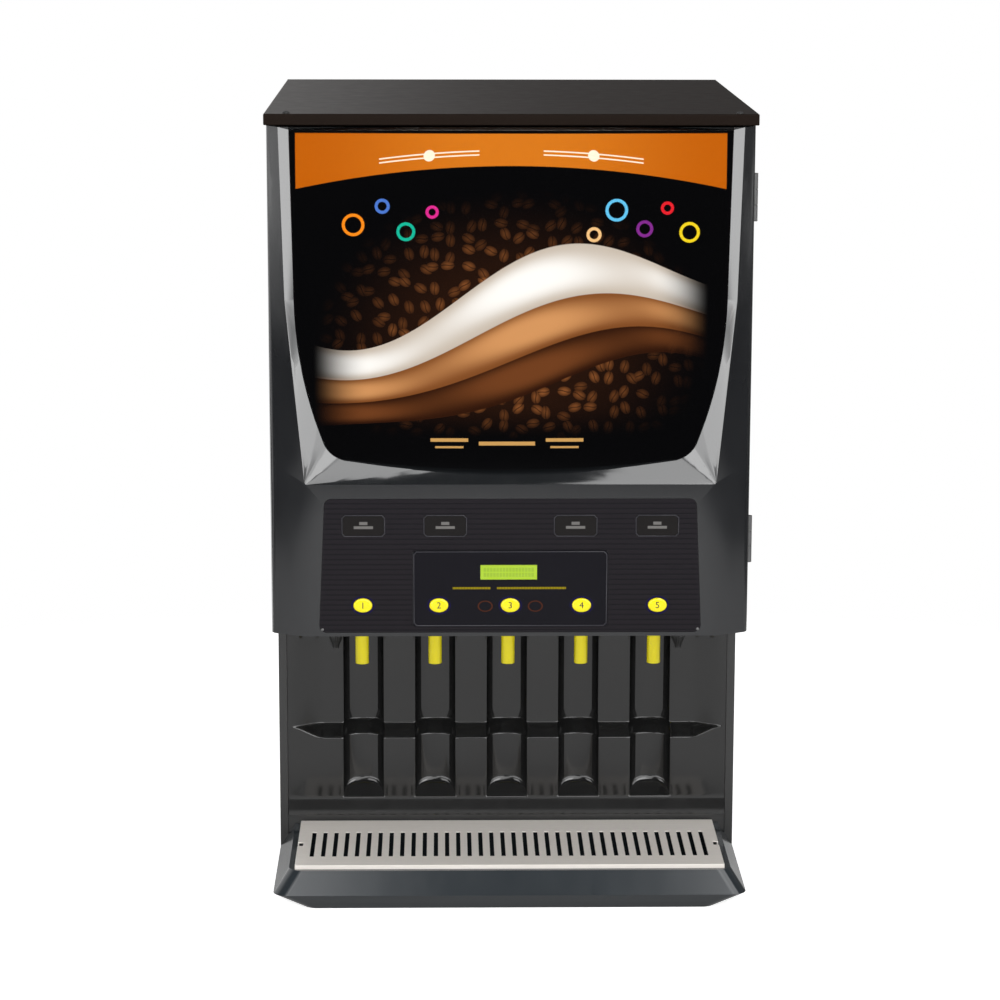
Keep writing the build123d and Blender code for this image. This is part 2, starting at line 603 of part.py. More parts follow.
def drip_tray():
    """The tray: bevelled above its widest line, undercut below it, with a ledge for the grille."""
    foot = tray_plan(TRAY_FOOT_HALF, FRONT_Y + TRAY_FOOT_FRONT, 0)
    waist = tray_plan(WIDTH / 2, FRONT_Y, TRAY_WAIST_Z)
    top = tray_plan(TRAY_TOP_HALF, FRONT_Y + TRAY_TOP_FRONT, TRAY_TOP_Z)
    tray = loft([foot, waist], ruled=True) + loft([waist, top], ruled=True)
    well_half = min(TRAY_FOOT_HALF, GRILLE_HALF) - TRAY_RIM
    well_front = max(GRILLE_FRONT_Y, FRONT_Y + TRAY_FOOT_FRONT) + TRAY_RIM
    tray -= block(-well_half, well_half, well_front, GRILLE_BACK_Y - TRAY_RIM, TRAY_FLOOR, TRAY_TOP_Z + SHEET)
    seat = GRILLE_HALF + FIT
    seat_z = GRILLE_TOP_Z - GRILLE_SKIRT
    tray -= block(-seat, seat, GRILLE_FRONT_Y - FIT, GRILLE_BACK_Y + FIT, seat_z, GRILLE_TOP_Z)
    for x in (-TAB_X, TAB_X):
        tray += block(x - TAB_WIDTH / 2, x + TAB_WIDTH / 2, TRAY_BACK_Y, TRAY_BACK_Y + TAB_LENGTH,
                      TAB_Z, TAB_Z + TAB_THICK)
    return tray


def drip_grille():
    """A stainless sheet with turned-down edges, a row of slots and a finger notch at each end."""
    bottom = GRILLE_TOP_Z - GRILLE_SKIRT
    inner = GRILLE_HALF - GRILLE_SHEET
    grille = block(-GRILLE_HALF, GRILLE_HALF, GRILLE_FRONT_Y, GRILLE_BACK_Y, bottom, GRILLE_TOP_Z)
    grille -= block(-inner, inner, GRILLE_FRONT_Y + GRILLE_SHEET, GRILLE_BACK_Y - GRILLE_SHEET,
                    bottom, GRILLE_TOP_Z - GRILLE_SHEET)
    slot_y = GRILLE_FRONT_Y + SLOT_FROM_FRONT + SLOT_LENGTH / 2
    slots = [((i - (SLOT_COUNT - 1) / 2) * SLOT_PITCH, slot_y) for i in range(SLOT_COUNT)]
    holes = Sketch() + [Pos(x, y) * Rectangle(SLOT_WIDTH, SLOT_LENGTH) for x, y in slots]
    holes += [Pos(x, slot_y) * Rectangle(2 * NOTCH_WIDTH, NOTCH_LENGTH) for x in (-GRILLE_HALF, GRILLE_HALF)]
    return grille - extrude(Pos(0, 0, bottom) * holes, amount=GRILLE_SKIRT)


# Door

def door_section(crease_half, z):
    """Plan of the door at a level: flat field, slanted side columns, square back."""
    half = WIDTH / 2
    side_y = DOOR_FRONT_Y + SIDE_BEVEL
    plan = Polygon(
        (-half, DOOR_BACK_Y), (-half, side_y), (-crease_half, DOOR_FRONT_Y), (crease_half, DOOR_FRONT_Y),
        (half, side_y), (half, DOOR_BACK_Y), align=None)
    corners = [v for v in plan.vertices() if abs(v.Y - side_y) < FIT]
    return Pos(0, 0, z) * fillet(corners, COLUMN_ROUND)


def lens_outline(grow):
    """The shield-shaped window, drawn in X and Z and grown by a clearance."""
    top_z = DOOR_TOP_Z - LENS_TOP_MARGIN + grow
    top, shoulder, low = LENS_HALF_TOP + grow, LENS_HALF_SHOULDER + grow, LENS_HALF_LOW + grow
    slope = (shoulder - top, CREASE_SHOULDER_Z - top_z)
    mirrored = (-slope[0], slope[1])
    outline = make_face(Curve() + [
        Line((-top, top_z), (top, top_z)),
        Line((top, top_z), (shoulder, CREASE_SHOULDER_Z)),
        TangentArc((shoulder, CREASE_SHOULDER_Z), (low, LENS_LOW_Z - grow), tangent=slope),
        ThreePointArc((low, LENS_LOW_Z - grow), (0, LENS_BOTTOM_Z - grow), (-low, LENS_LOW_Z - grow)),
        TangentArc((-shoulder, CREASE_SHOULDER_Z), (-low, LENS_LOW_Z - grow), tangent=mirrored),
        Line((-shoulder, CREASE_SHOULDER_Z), (-top, top_z)),
    ])
    return fillet(outline.vertices().sort_by(Axis.Y)[:2], LENS_CORNER + grow)


def bevel_outline():
    """The outer edge of the window's bevel, along the door's creases."""
    outline = Polygon(
        (-CREASE_HALF_TOP, DOOR_TOP_Z), (CREASE_HALF_TOP, DOOR_TOP_Z), (CREASE_HALF_SHOULDER, CREASE_SHOULDER_Z),
        (CREASE_HALF_WAIST, CREASE_WAIST_Z), (-CREASE_HALF_WAIST, CREASE_WAIST_Z),
        (-CREASE_HALF_SHOULDER, CREASE_SHOULDER_Z), align=None)
    return fillet(outline.vertices().sort_by(Axis.Y)[:2], BEVEL_CORNER)


def panel_outline(grow):
    """The control overlay: a little wider at the bottom, rounded corners."""
    outline = Polygon(
        (-PANEL_HALF_BOTTOM - grow, PANEL_BOTTOM_Z - grow), (PANEL_HALF_BOTTOM + grow, PANEL_BOTTOM_Z - grow),
        (PANEL_HALF_TOP + grow, PANEL_TOP_Z + grow), (-PANEL_HALF_TOP - grow, PANEL_TOP_Z + grow), align=None)
    return fillet(outline.vertices(), PANEL_CORNER + grow)


def module_outline(grow):
    """The display module's rounded rectangle."""
    centre = Pos(0, (MODULE_BOTTOM_Z + MODULE_TOP_Z) / 2)
    height = MODULE_TOP_Z - MODULE_BOTTOM_Z
    return centre * RectangleRounded(2 * (MODULE_HALF + grow), height + 2 * grow, MODULE_CORNER + grow)


def button_oval(grow):
    """One oval of four tangent arcs, grown by a clearance."""
    width, height, end = BUTTON_HALF_WIDTH + grow, BUTTON_HALF_HEIGHT + grow, BUTTON_END + grow
    reach = width - end
    side = (reach ** 2 + height ** 2 - end ** 2) / (2 * (height - end))
    turn = end / (side - end)
    touch_x, touch_y = reach * (1 + turn), (side - height) * turn
    return make_face(Curve() + [
        ThreePointArc((-touch_x, touch_y), (0, height), (touch_x, touch_y)),
        ThreePointArc((touch_x, touch_y), (width, 0), (touch_x, -touch_y)),
        ThreePointArc((touch_x, -touch_y), (0, -height), (-touch_x, -touch_y)),
        ThreePointArc((-touch_x, -touch_y), (-width, 0), (-touch_x, touch_y)),
    ])


def button_ovals(grow, places):
    """Ovals of the dispense buttons, grown by a clearance."""
    return Sketch() + [Pos(x, BUTTON_Z) * button_oval(grow) for x in places]


def door_shell():
    """The moulded door: slanted side columns, a bevelled window, a recess for the controls, open at the back."""
    shell = loft([
        door_section(CREASE_HALF_BOTTOM, HOOD_Z), door_section(CREASE_HALF_WAIST, CREASE_WAIST_Z),
        door_section(CREASE_HALF_SHOULDER, CREASE_SHOULDER_Z), door_section(CREASE_HALF_TOP, DOOR_TOP_Z),
    ], ruled=True)
    inner_front = DOOR_FRONT_Y + DOOR_FRONT_WALL
    step_y = DOOR_FRONT_Y + POCKET_STEP
    low, high = HOOD_Z + DOOR_WALL, DOOR_TOP_Z - DOOR_WALL
    wide = WIDTH / 2 - DOOR_WALL
    shell -= block(-POCKET_HALF, POCKET_HALF, inner_front, step_y, low, high)
    shell -= block(-wide, wide, step_y, DOOR_BACK_Y + DOOR_WALL, low, high)
    seat_y = DOOR_FRONT_Y + WINDOW_BEVEL
    window = lens_outline(LENS_GAP)
    shell -= loft([front_plane(DOOR_FRONT_Y) * bevel_outline(), front_plane(seat_y) * window], ruled=True)
    shell -= front_plate(window, seat_y, inner_front + DOOR_WALL)
    shell -= front_plate(panel_outline(PANEL_GAP), DOOR_FRONT_Y - FIT, DOOR_FRONT_Y + PANEL_DEPTH)
    shell -= front_plate(button_ovals(FIT, BUTTON_X), DOOR_FRONT_Y, inner_front + DOOR_WALL)
    return shell


def lens_sheet(back_shift, depth):
    """A tall sheet bowed about a vertical axis, back_shift behind the lens's front."""
    radius = (LENS_HALF_TOP ** 2 + LENS_BOW ** 2) / (2 * LENS_BOW)
    front = DOOR_FRONT_Y + WINDOW_BEVEL - LENS_BOW + back_shift
    centre = front + radius
    half = WIDTH
    arc_y = centre - math.sqrt(radius ** 2 - half ** 2)
    plan = make_face(Curve() + [
        ThreePointArc((-half, arc_y), (0, front), (half, arc_y)),
        Polyline((half, arc_y), (half, arc_y + depth), (-half, arc_y + depth), (-half, arc_y)),
    ])
    return extrude(plan, amount=HEIGHT)


def window_lens():
    """The graphic panel: a bowed sheet cut to the window's outline."""
    blank = front_plate(lens_outline(0), DOOR_FRONT_Y - LENS_BOW, DOOR_FRONT_Y + DOOR_DEPTH)
    return (blank & lens_sheet(0, DOOR_DEPTH)) - lens_sheet(LENS_THICK, DOOR_DEPTH)


def light_box():
    """An open-fronted box behind the lens, with four lamp holders on its back wall."""
    half = POCKET_HALF - FIT
    top = DOOR_TOP_Z - DOOR_WALL - FIT
    front = DOOR_FRONT_Y + DOOR_FRONT_WALL
    back = front + BOX_DEPTH
    box = block(-half, half, front, back, BOX_BOTTOM_Z, top)
    inner = half - BOX_WALL
    box -= block(-inner, inner, front, back - BOX_WALL, BOX_BOTTOM_Z + BOX_WALL, top - BOX_WALL)
    box -= front_plate(lens_outline(LENS_GAP), front, front + LENS_THICK)
    lamp_y = back - BOX_WALL - LAMP_SETBACK
    for x in (-LAMP_X, LAMP_X):
        for z in (BOX_BOTTOM_Z + HOLDER_INSET, top - HOLDER_INSET - HOLDER_HEIGHT):
            holder = block(x - HOLDER_WIDTH / 2, x + HOLDER_WIDTH / 2, lamp_y - LAMP_RADIUS, back - BOX_WALL,
                           z, z + HOLDER_HEIGHT)
            box += holder - rod_z(x, lamp_y, LAMP_RADIUS + FIT, z, z + HOLDER_HEIGHT)
    return box


def lamp_tubes():
    """Two upright lamp tubes, held at their ends."""
    top = DOOR_TOP_Z - DOOR_WALL - FIT - HOLDER_INSET
    y = DOOR_FRONT_Y + DOOR_FRONT_WALL + BOX_DEPTH - BOX_WALL - LAMP_SETBACK
    return group([rod_z(x, y, LAMP_RADIUS, BOX_BOTTOM_Z + HOLDER_INSET, top) for x in (-LAMP_X, LAMP_X)])


def control_panel():
    """The overlay plate: sunk label windows, an opening for the display module and holes for the buttons."""
    back = DOOR_FRONT_Y + PANEL_DEPTH
    plate = front_plate(panel_outline(0), DOOR_FRONT_Y, back)
    plate -= front_plate(module_outline(PANEL_GAP), DOOR_FRONT_Y, back)
    plate -= front_plate(button_ovals(FIT, BUTTON_X), DOOR_FRONT_Y, back)
    label = RectangleRounded(LABEL_WIDTH, LABEL_HEIGHT, MODULE_CORNER)
    labels = Sketch() + [Pos(x, LABEL_Z) * label for x in LABEL_X]
    return plate - front_plate(labels, DOOR_FRONT_Y, DOOR_FRONT_Y + LABEL_SUNK)


def display_module():
    """The middle control plate, with a raised rim, a display opening and holes for the inner buttons."""
    front, back = DOOR_FRONT_Y - MODULE_PROUD, DOOR_FRONT_Y + PANEL_DEPTH
    plate = front_plate(module_outline(0), front, back)
    plate -= front_plate(module_outline(-MODULE_RIM / 2), front, front + MODULE_RIM_DEPTH)
    plate -= front_plate(button_ovals(FIT, BUTTON_X), front, back)
    opening = Pos(LCD_X, LCD_Z) * Rectangle(LCD_WIDTH + 2 * FIT, LCD_HEIGHT + 2 * FIT)
    return plate - front_plate(opening, front, back)


def lcd_window():
    """The display glass."""
    front = DOOR_FRONT_Y + LCD_SUNK
    return front_plate(Pos(LCD_X, LCD_Z) * Rectangle(LCD_WIDTH, LCD_HEIGHT), front, DOOR_FRONT_Y + PANEL_DEPTH)


def dispense_button(x):
    """An oval button with a bevelled crown and a stem towards its switch."""
    front = DOOR_FRONT_Y - BUTTON_PROUD
    oval = button_ovals(0, [x])
    cap = front_plate(oval, front, DOOR_FRONT_Y + PANEL_DEPTH)
    crown = cap.faces().sort_by(Axis.Y)[0].edges()
    cap = chamfer(crown, BUTTON_CROWN)
    stem_end = DOOR_FRONT_Y + DOOR_FRONT_WALL + BOARD_STANDOFF - BUTTON_TRAVEL - SWITCH_HALF - FIT
    return cap + rod_y(x, BUTTON_Z, BUTTON_STEM, DOOR_FRONT_Y + PANEL_DEPTH, stem_end)


def control_board():
    """The circuit board on posts behind the front wall, with one switch behind each button."""
    wall = DOOR_FRONT_Y + DOOR_FRONT_WALL
    front = wall + BOARD_STANDOFF
    board = block(-BOARD_HALF, BOARD_HALF, front, front + BOARD_THICK, BOARD_BOTTOM_Z, BOARD_TOP_Z)
    for x in (-BOARD_HALF + POST_INSET, BOARD_HALF - POST_INSET):
        for z in (BOARD_BOTTOM_Z + POST_INSET, BOARD_TOP_Z - POST_INSET):
            board += rod_y(x, z, POST_RADIUS, wall, front)
    for x in BUTTON_X:
        board += block(x - SWITCH_HALF, x + SWITCH_HALF, front - SWITCH_HALF, front,
                       BUTTON_Z - SWITCH_HALF, BUTTON_Z + SWITCH_HALF)
    return board


def door_liner():
    """The sheet that closes the back of the door."""
    half = WIDTH / 2 - DOOR_WALL - FIT
    low, high = HOOD_Z + DOOR_WALL + FIT, DOOR_TOP_Z - DOOR_WALL - FIT
    return block(-half, half, DOOR_BACK_Y - LINER_SHEET, DOOR_BACK_Y, low, high)


def hinge_leaf(z, on_door):
    """One leaf on the side wall; the cabinet's has the outer knuckles and the pin, the door's the middle one."""
    low, high = z - HINGE_HEIGHT / 2, z + HINGE_HEIGHT / 2
    third = HINGE_HEIGHT / 3
    away = -1 if on_door else 1
    near, far = sorted((HINGE_Y + away * LEAF_CLEAR, HINGE_Y + away * LEAF_WIDTH))
    leaf = block(WIDTH / 2, WIDTH / 2 + LEAF_THICK, near, far, low, high)
    spans = [(low + third, high - third)] if on_door else [(low, low + third), (high - third, high)]
    for z0, z1 in spans:
        z0 += KNUCKLE_GAP / 2 if z0 > low else 0
        z1 -= KNUCKLE_GAP / 2 if z1 < high else 0
        web_near, web_far = sorted((HINGE_Y, HINGE_Y + away * LEAF_CLEAR))
        leaf += block(WIDTH / 2 + KNUCKLE_OUT - KNUCKLE_RADIUS, WIDTH / 2 + LEAF_THICK, web_near, web_far, z0, z1)
        leaf += rod_z(HINGE_X, HINGE_Y, KNUCKLE_RADIUS, z0, z1)
        if on_door:
            leaf -= rod_z(HINGE_X, HINGE_Y, HINGE_PIN + RUNNING, z0, z1)
    return leaf if on_door else leaf + rod_z(HINGE_X, HINGE_Y, HINGE_PIN, low, high)


def hinge_leaves(on_door):
    """The upper and lower leaves of one side."""
    return group([hinge_leaf(z, on_door) for z in (HINGE_LOW_Z, HINGE_HIGH_Z)])


def door_catch():
    """A magnetic catch on the left jamb."""
    edge = -(WIDTH / 2 - FLANGE)
    front = DOOR_BACK_Y + CATCH_GAP
    return block(edge, edge + CATCH_WIDTH, front, front + CATCH_DEPTH,
                 CATCH_Z - CATCH_HEIGHT / 2, CATCH_Z + CATCH_HEIGHT / 2)


# Mixing stations

def mixing_bowl(x):
    """A funnel on a whipping chamber, with a spigot below and a water barb behind."""
    front = NOZZLE_Y - CHAMBER_FRONT
    throat_z = CHAMBER_Z + CHAMBER_RADIUS - BOWL_WALL
    depth = BOWL_RIM_Z - throat_z
    middle = (BOWL_RIM_Z + throat_z) / 2
    outer = Pos(x, BOWL_Y, middle) * Cone(BOWL_NECK, BOWL_RADIUS, depth)
    outer += rod_y(x, CHAMBER_Z, CHAMBER_RADIUS, front, BULKHEAD_Y)
    outer += rod_y(x, CHAMBER_Z, BOWL_FLANGE, BULKHEAD_Y - BOWL_WALL, BULKHEAD_Y)
    outer += rod_z(x, NOZZLE_Y, SPIGOT_RADIUS, SPIGOT_TIP_Z, CHAMBER_Z)
    outer += rod_y(x, BARB_Z, BARB_RADIUS, BOWL_Y, BOWL_Y + BOWL_NECK + BARB_LENGTH)
    outer -= Pos(x, BOWL_Y, middle) * Cone(BOWL_NECK - BOWL_WALL, BOWL_RADIUS - BOWL_WALL, depth)
    outer -= rod_z(x, BOWL_Y, BOWL_NECK - BOWL_WALL, CHAMBER_Z, throat_z)
    outer -= rod_y(x, CHAMBER_Z, CHAMBER_RADIUS - BOWL_WALL, front + BOWL_WALL, BULKHEAD_Y)
    outer -= rod_z(x, NOZZLE_Y, SPIGOT_BORE, SPIGOT_TIP_Z, CHAMBER_Z)
    return outer - rod_y(x, BARB_Z, BARB_BORE, BOWL_Y, BOWL_Y + BOWL_NECK + BARB_LENGTH)


def nozzle_tip(x):
    """The coloured sleeve pushed over the spigot."""
    tip = rod_z(x, NOZZLE_Y, TIP_RADIUS, TIP_BOTTOM_Z, TIP_TOP_Z)
    tip -= rod_z(x, NOZZLE_Y, SPIGOT_RADIUS + TIP_GAP, SPIGOT_TIP_Z - TIP_GAP, TIP_TOP_Z)
    return tip - rod_z(x, NOZZLE_Y, TIP_BORE, TIP_BOTTOM_Z, SPIGOT_TIP_Z)


def whipper(x):
    """A hub with a disc and straight blades, on the mixer motor's shaft."""
    shaft_end = BULKHEAD_BACK_Y - MIXER_SHAFT_LENGTH
    disc_y = shaft_end - WHIP_DISC
    blade_y = disc_y - WHIP_BLADE_LENGTH
    wheel = rod_y(x, CHAMBER_Z, WHIP_HUB, blade_y - WHIP_NOSE, BULKHEAD_Y - BOWL_WALL)
    wheel += rod_y(x, CHAMBER_Z, WHIP_RADIUS, disc_y, disc_y + WHIP_DISC)
    blade = Pos(WHIP_RADIUS / 2, 0, 0) * Box(WHIP_RADIUS, WHIP_BLADE_LENGTH, WHIP_BLADE_THICK)
    for turn in range(WHIP_BLADES):
        place = Pos(x, disc_y - WHIP_BLADE_LENGTH / 2, CHAMBER_Z) * Rot(0, turn * 360 / WHIP_BLADES, 0)
        wheel += place * blade
    return wheel - rod_y(x, CHAMBER_Z, MIXER_SHAFT + RUNNING, shaft_end - RUNNING, BULKHEAD_Y)


def mixer_motor(x):
    """A round motor behind the bulkhead, with a smaller end cap and a long shaft."""
    cap_y = MIXER_END_Y - MIXER_CAP
    motor = rod_y(x, CHAMBER_Z, MIXER_RADIUS, BULKHEAD_BACK_Y, cap_y)
    motor += rod_y(x, CHAMBER_Z, MIXER_RADIUS - BOWL_WALL, cap_y, MIXER_END_Y)
    return motor + rod_y(x, CHAMBER_Z, MIXER_SHAFT, BULKHEAD_BACK_Y - MIXER_SHAFT_LENGTH, BULKHEAD_BACK_Y)


# Powder stations

def hopper_profile(inset):
    """Cross section of a hopper, drawn in X and Z about the auger axis; inset is the wall."""
    half = HOPPER_HALF - inset
    trough = TROUGH_OUTER - inset
    shoulder = AUGER_Z + HOPPER_SHOULDER
    return make_face(Curve() + [
        ThreePointArc((-trough, AUGER_Z), (0, AUGER_Z - trough), (trough, AUGER_Z)),
        Polyline((trough, AUGER_Z), (half, shoulder), (half, HOPPER_TOP_Z), (-half, HOPPER_TOP_Z),
                 (-half, shoulder), (-trough, AUGER_Z)),
    ])


def hopper(x):
    """An open-topped bin that narrows to the auger's trough, with an outlet tube in front."""
    bin_ = front_plate(hopper_profile(0), HOPPER_FRONT_Y, HOPPER_BACK_Y)
    bin_ += rod_y(0, AUGER_Z, TROUGH_OUTER, OUTLET_END_Y, HOPPER_FRONT_Y)
    bin_ += block(-SKID_HALF, SKID_HALF, BULKHEAD_Y, HOPPER_BACK_Y, SHELF_Z, SHELF_Z + SKID_HEIGHT)
    bin_ -= front_plate(hopper_profile(HOPPER_WALL), HOPPER_FRONT_Y + HOPPER_WALL, HOPPER_BACK_Y - HOPPER_WALL)
    bin_ -= rod_y(0, AUGER_Z, TROUGH_RADIUS, OUTLET_END_Y, HOPPER_FRONT_Y + HOPPER_WALL)
    bin_ -= rod_y(0, AUGER_Z, HUB_RADIUS + FIT, HOPPER_BACK_Y - HOPPER_WALL, HOPPER_BACK_Y)
    return Pos(x, 0, 0) * bin_


def hopper_lid(x):
    """A shallow cap with a finger grip."""
    plate = block(x - HOPPER_HALF, x + HOPPER_HALF, HOPPER_FRONT_Y, HOPPER_BACK_Y,
                  HOPPER_TOP_Z, HOPPER_TOP_Z + HOPPER_WALL)
    inner = HOPPER_HALF - HOPPER_WALL - FIT
    plate += block(x - inner, x + inner, HOPPER_FRONT_Y + HOPPER_WALL + FIT, HOPPER_BACK_Y - HOPPER_WALL - FIT,
                   HOPPER_TOP_Z - HOPPER_WALL, HOPPER_TOP_Z)
    middle = (HOPPER_FRONT_Y + HOPPER_BACK_Y) / 2
    return plate + block(x - LID_GRIP / 2, x + LID_GRIP / 2, middle - HOPPER_WALL, middle + HOPPER_WALL,
                         HOPPER_TOP_Z, HOPPER_TOP_Z + LID_HEIGHT)


def auger():
    """A screw along Y: a shaft, a drive hub that takes the motor's shaft, and a helical flight."""
    start = OUTLET_END_Y + FIT
    flight_end = HOPPER_BACK_Y - HOPPER_WALL - FLIGHT_THICK
    hub_start = flight_end - FLIGHT_THICK
    bore_start = MOTOR_WALL_BACK_Y - GEAR_SHAFT_LENGTH - RUNNING
    core = rod_y(0, 0, AUGER_SHAFT, start, flight_end) + rod_y(0, 0, HUB_RADIUS, hub_start, MOTOR_WALL_Y)
    core -= rod_y(0, 0, GEAR_SHAFT + RUNNING, bore_start, MOTOR_WALL_Y)
    root = AUGER_SHAFT - FLIGHT_ROOT
    blade = Pos((root + AUGER_RADIUS) / 2, 0) * Rectangle(AUGER_RADIUS - root, FLIGHT_THICK)
    flight_start = start + FLIGHT_THICK
    steps = math.floor((hub_start - FLIGHT_THICK - flight_start) / AUGER_PITCH * FLIGHT_FACETS)
    sections = []
    for step in range(steps + 1):
        turn = 2 * math.pi * step / FLIGHT_FACETS
        out = (math.cos(turn), 0, math.sin(turn))
        along = (-math.sin(turn), 0, math.cos(turn))
        place = (0, flight_start + AUGER_PITCH * step / FLIGHT_FACETS, 0)
        sections.append(Plane(origin=place, x_dir=out, z_dir=along) * blade)
    return core + loft(sections, ruled=True)


def elbow(x):
    """The ejector elbow: a collar that turns on the hopper's outlet, and a spout hanging from it."""
    inner = TROUGH_OUTER + FIT
    outer = inner + ELBOW_WALL
    back = HOPPER_FRONT_Y - ELBOW_BACK
    room_end = OUTLET_END_Y - ELBOW_ROOM
    spout_y = room_end + ELBOW_SPOUT - ELBOW_WALL / 2
    piece = rod_y(x, AUGER_Z, outer, room_end - ELBOW_WALL, back)
    piece += rod_z(x, spout_y, ELBOW_SPOUT, AUGER_Z - ELBOW_DROP, AUGER_Z)
    piece -= rod_y(x, AUGER_Z, inner, room_end, back)
    return piece - rod_z(x, spout_y, ELBOW_SPOUT - ELBOW_WALL, AUGER_Z - ELBOW_DROP, AUGER_Z)


def auger_motor(x):
    """A gear box on the motor wall with a round motor behind it."""
    half = GEAR_WIDTH / 2
    box_end = MOTOR_WALL_BACK_Y + GEAR_LENGTH
    motor = block(x - half, x + half, MOTOR_WALL_BACK_Y, box_end, AUGER_Z - AUGER_RISE, AUGER_Z + half)
    motor += rod_y(x, AUGER_Z, GEAR_MOTOR_RADIUS, box_end, box_end + GEAR_MOTOR_LENGTH)
    return motor + rod_y(x, AUGER_Z, GEAR_SHAFT, MOTOR_WALL_BACK_Y - GEAR_SHAFT_LENGTH, MOTOR_WALL_BACK_Y)


# Water system

def tank_box(inset):
    """The tank's block with rounded upright edges, drawn in by inset."""
    plan = RectangleRounded(2 * (TANK_HALF - inset), TANK_DEPTH - 2 * inset, TANK_ROUND - inset)
    return extrude(Pos(0, TANK_FRONT_Y + TANK_DEPTH / 2, FLOOR_Z + inset) * plan, amount=TANK_HEIGHT - 2 * inset)


def hot_water_tank():
    """A closed tank with an opening in its top for the heating element."""
    tank = tank_box(0) - tank_box(TANK_WALL)
    middle = TANK_FRONT_Y + TANK_DEPTH / 2
    return tank - rod_z(0, middle, ELEMENT_PLUG + FIT, TANK_TOP_Z - 2 * TANK_WALL, TANK_TOP_Z)


def heating_element():
    """A screw-in plug with a hairpin rod in the tank and two terminals above."""
    y = TANK_FRONT_Y + TANK_DEPTH / 2
    top = TANK_TOP_Z + ELEMENT_FLANGE_THICK
    part = rod_z(0, y, ELEMENT_FLANGE, TANK_TOP_Z, top)
    part += rod_z(0, y, ELEMENT_PLUG, TANK_TOP_Z - 2 * ELEMENT_FLANGE_THICK, TANK_TOP_Z)
    low = TANK_TOP_Z - ELEMENT_LENGTH
    for x in (-ELEMENT_SPACING, ELEMENT_SPACING):
        part += rod_z(x, y, ELEMENT_ROD, low, TANK_TOP_Z)
        part += rod_z(x, y, ELEMENT_ROD, top, top + ELEMENT_TERMINAL)
    bend = Pos(0, y, low) * Rot(90, 0, 0) * Torus(ELEMENT_SPACING, ELEMENT_ROD)
    reach = 2 * (ELEMENT_SPACING + ELEMENT_ROD)
    return part + (bend - block(-reach, reach, y - reach, y + reach, low, low + reach))


def water_valve(x):
    """A dispense valve on the tank's front: body, coil below and outlet barb above."""
    top = VALVE_Z + VALVE_HEIGHT
    valve = block(x - VALVE_HALF, x + VALVE_HALF, TANK_FRONT_Y - VALVE_DEPTH, TANK_FRONT_Y, VALVE_Z, top)
    valve += rod_z(x, VALVE_Y, COIL_RADIUS, VALVE_Z - COIL_HEIGHT, VALVE_Z)
    return valve + rod_z(x, VALVE_Y, BARB_RADIUS, top, top + BARB_GRIP)


def hot_water_tube(x):
    """A soft tube from a valve's barb to a bowl's barb."""
    start = BOWL_Y + BOWL_NECK + BARB_LENGTH - BARB_GRIP
    low = VALVE_Z + VALVE_HEIGHT + FIT
    bend_y, bend_z = VALVE_Y - TUBE_BEND, BARB_Z - TUBE_BEND
    bore = BARB_RADIUS + TIP_GAP
    ring = Circle(bore + TUBE_WALL) - Circle(bore)
    level = Plane(origin=(x, start, BARB_Z), x_dir=(1, 0, 0), z_dir=(0, 1, 0))
    bend = Plane(origin=(x, bend_y, BARB_Z), x_dir=(1, 0, 0), z_dir=(0, 1, 0))
    tube = extrude(level * ring, amount=bend_y - start)
    tube += revolve(bend * ring, Axis((x, bend_y, bend_z), (-1, 0, 0)), 90)
    return tube + extrude(Pos(x, VALVE_Y, low) * ring, amount=bend_z - low)


def water_inlet():
    """A flare fitting through the rear cover, with a collar inside it and a nut outside."""
    collar = REAR_INNER_Y - INLET_COLLAR_THICK
    fitting = rod_y(INLET_X, INLET_Z, INLET_RADIUS, collar, REAR_Y + INLET_PROUD)
    fitting += rod_y(INLET_X, INLET_Z, INLET_COLLAR, collar, REAR_INNER_Y)
    fitting += rod_y(INLET_X, INLET_Z, INLET_NUT, REAR_Y, REAR_Y + INLET_NUT_THICK)
    return fitting - rod_y(INLET_X, INLET_Z, INLET_BORE, collar, REAR_Y + INLET_PROUD)


def cord_gland():
    """A bush in the rear cover, with its collar outside."""
    bush = rod_y(GLAND_X, INLET_Z, GLAND_RADIUS, REAR_Y - GLAND_LENGTH, REAR_Y)
    bush += rod_y(GLAND_X, INLET_Z, GLAND_COLLAR, REAR_Y, REAR_Y + GLAND_COLLAR_THICK)
    return bush - rod_y(GLAND_X, INLET_Z, GLAND_BORE, REAR_Y - GLAND_LENGTH, REAR_Y + GLAND_COLLAR_THICK)


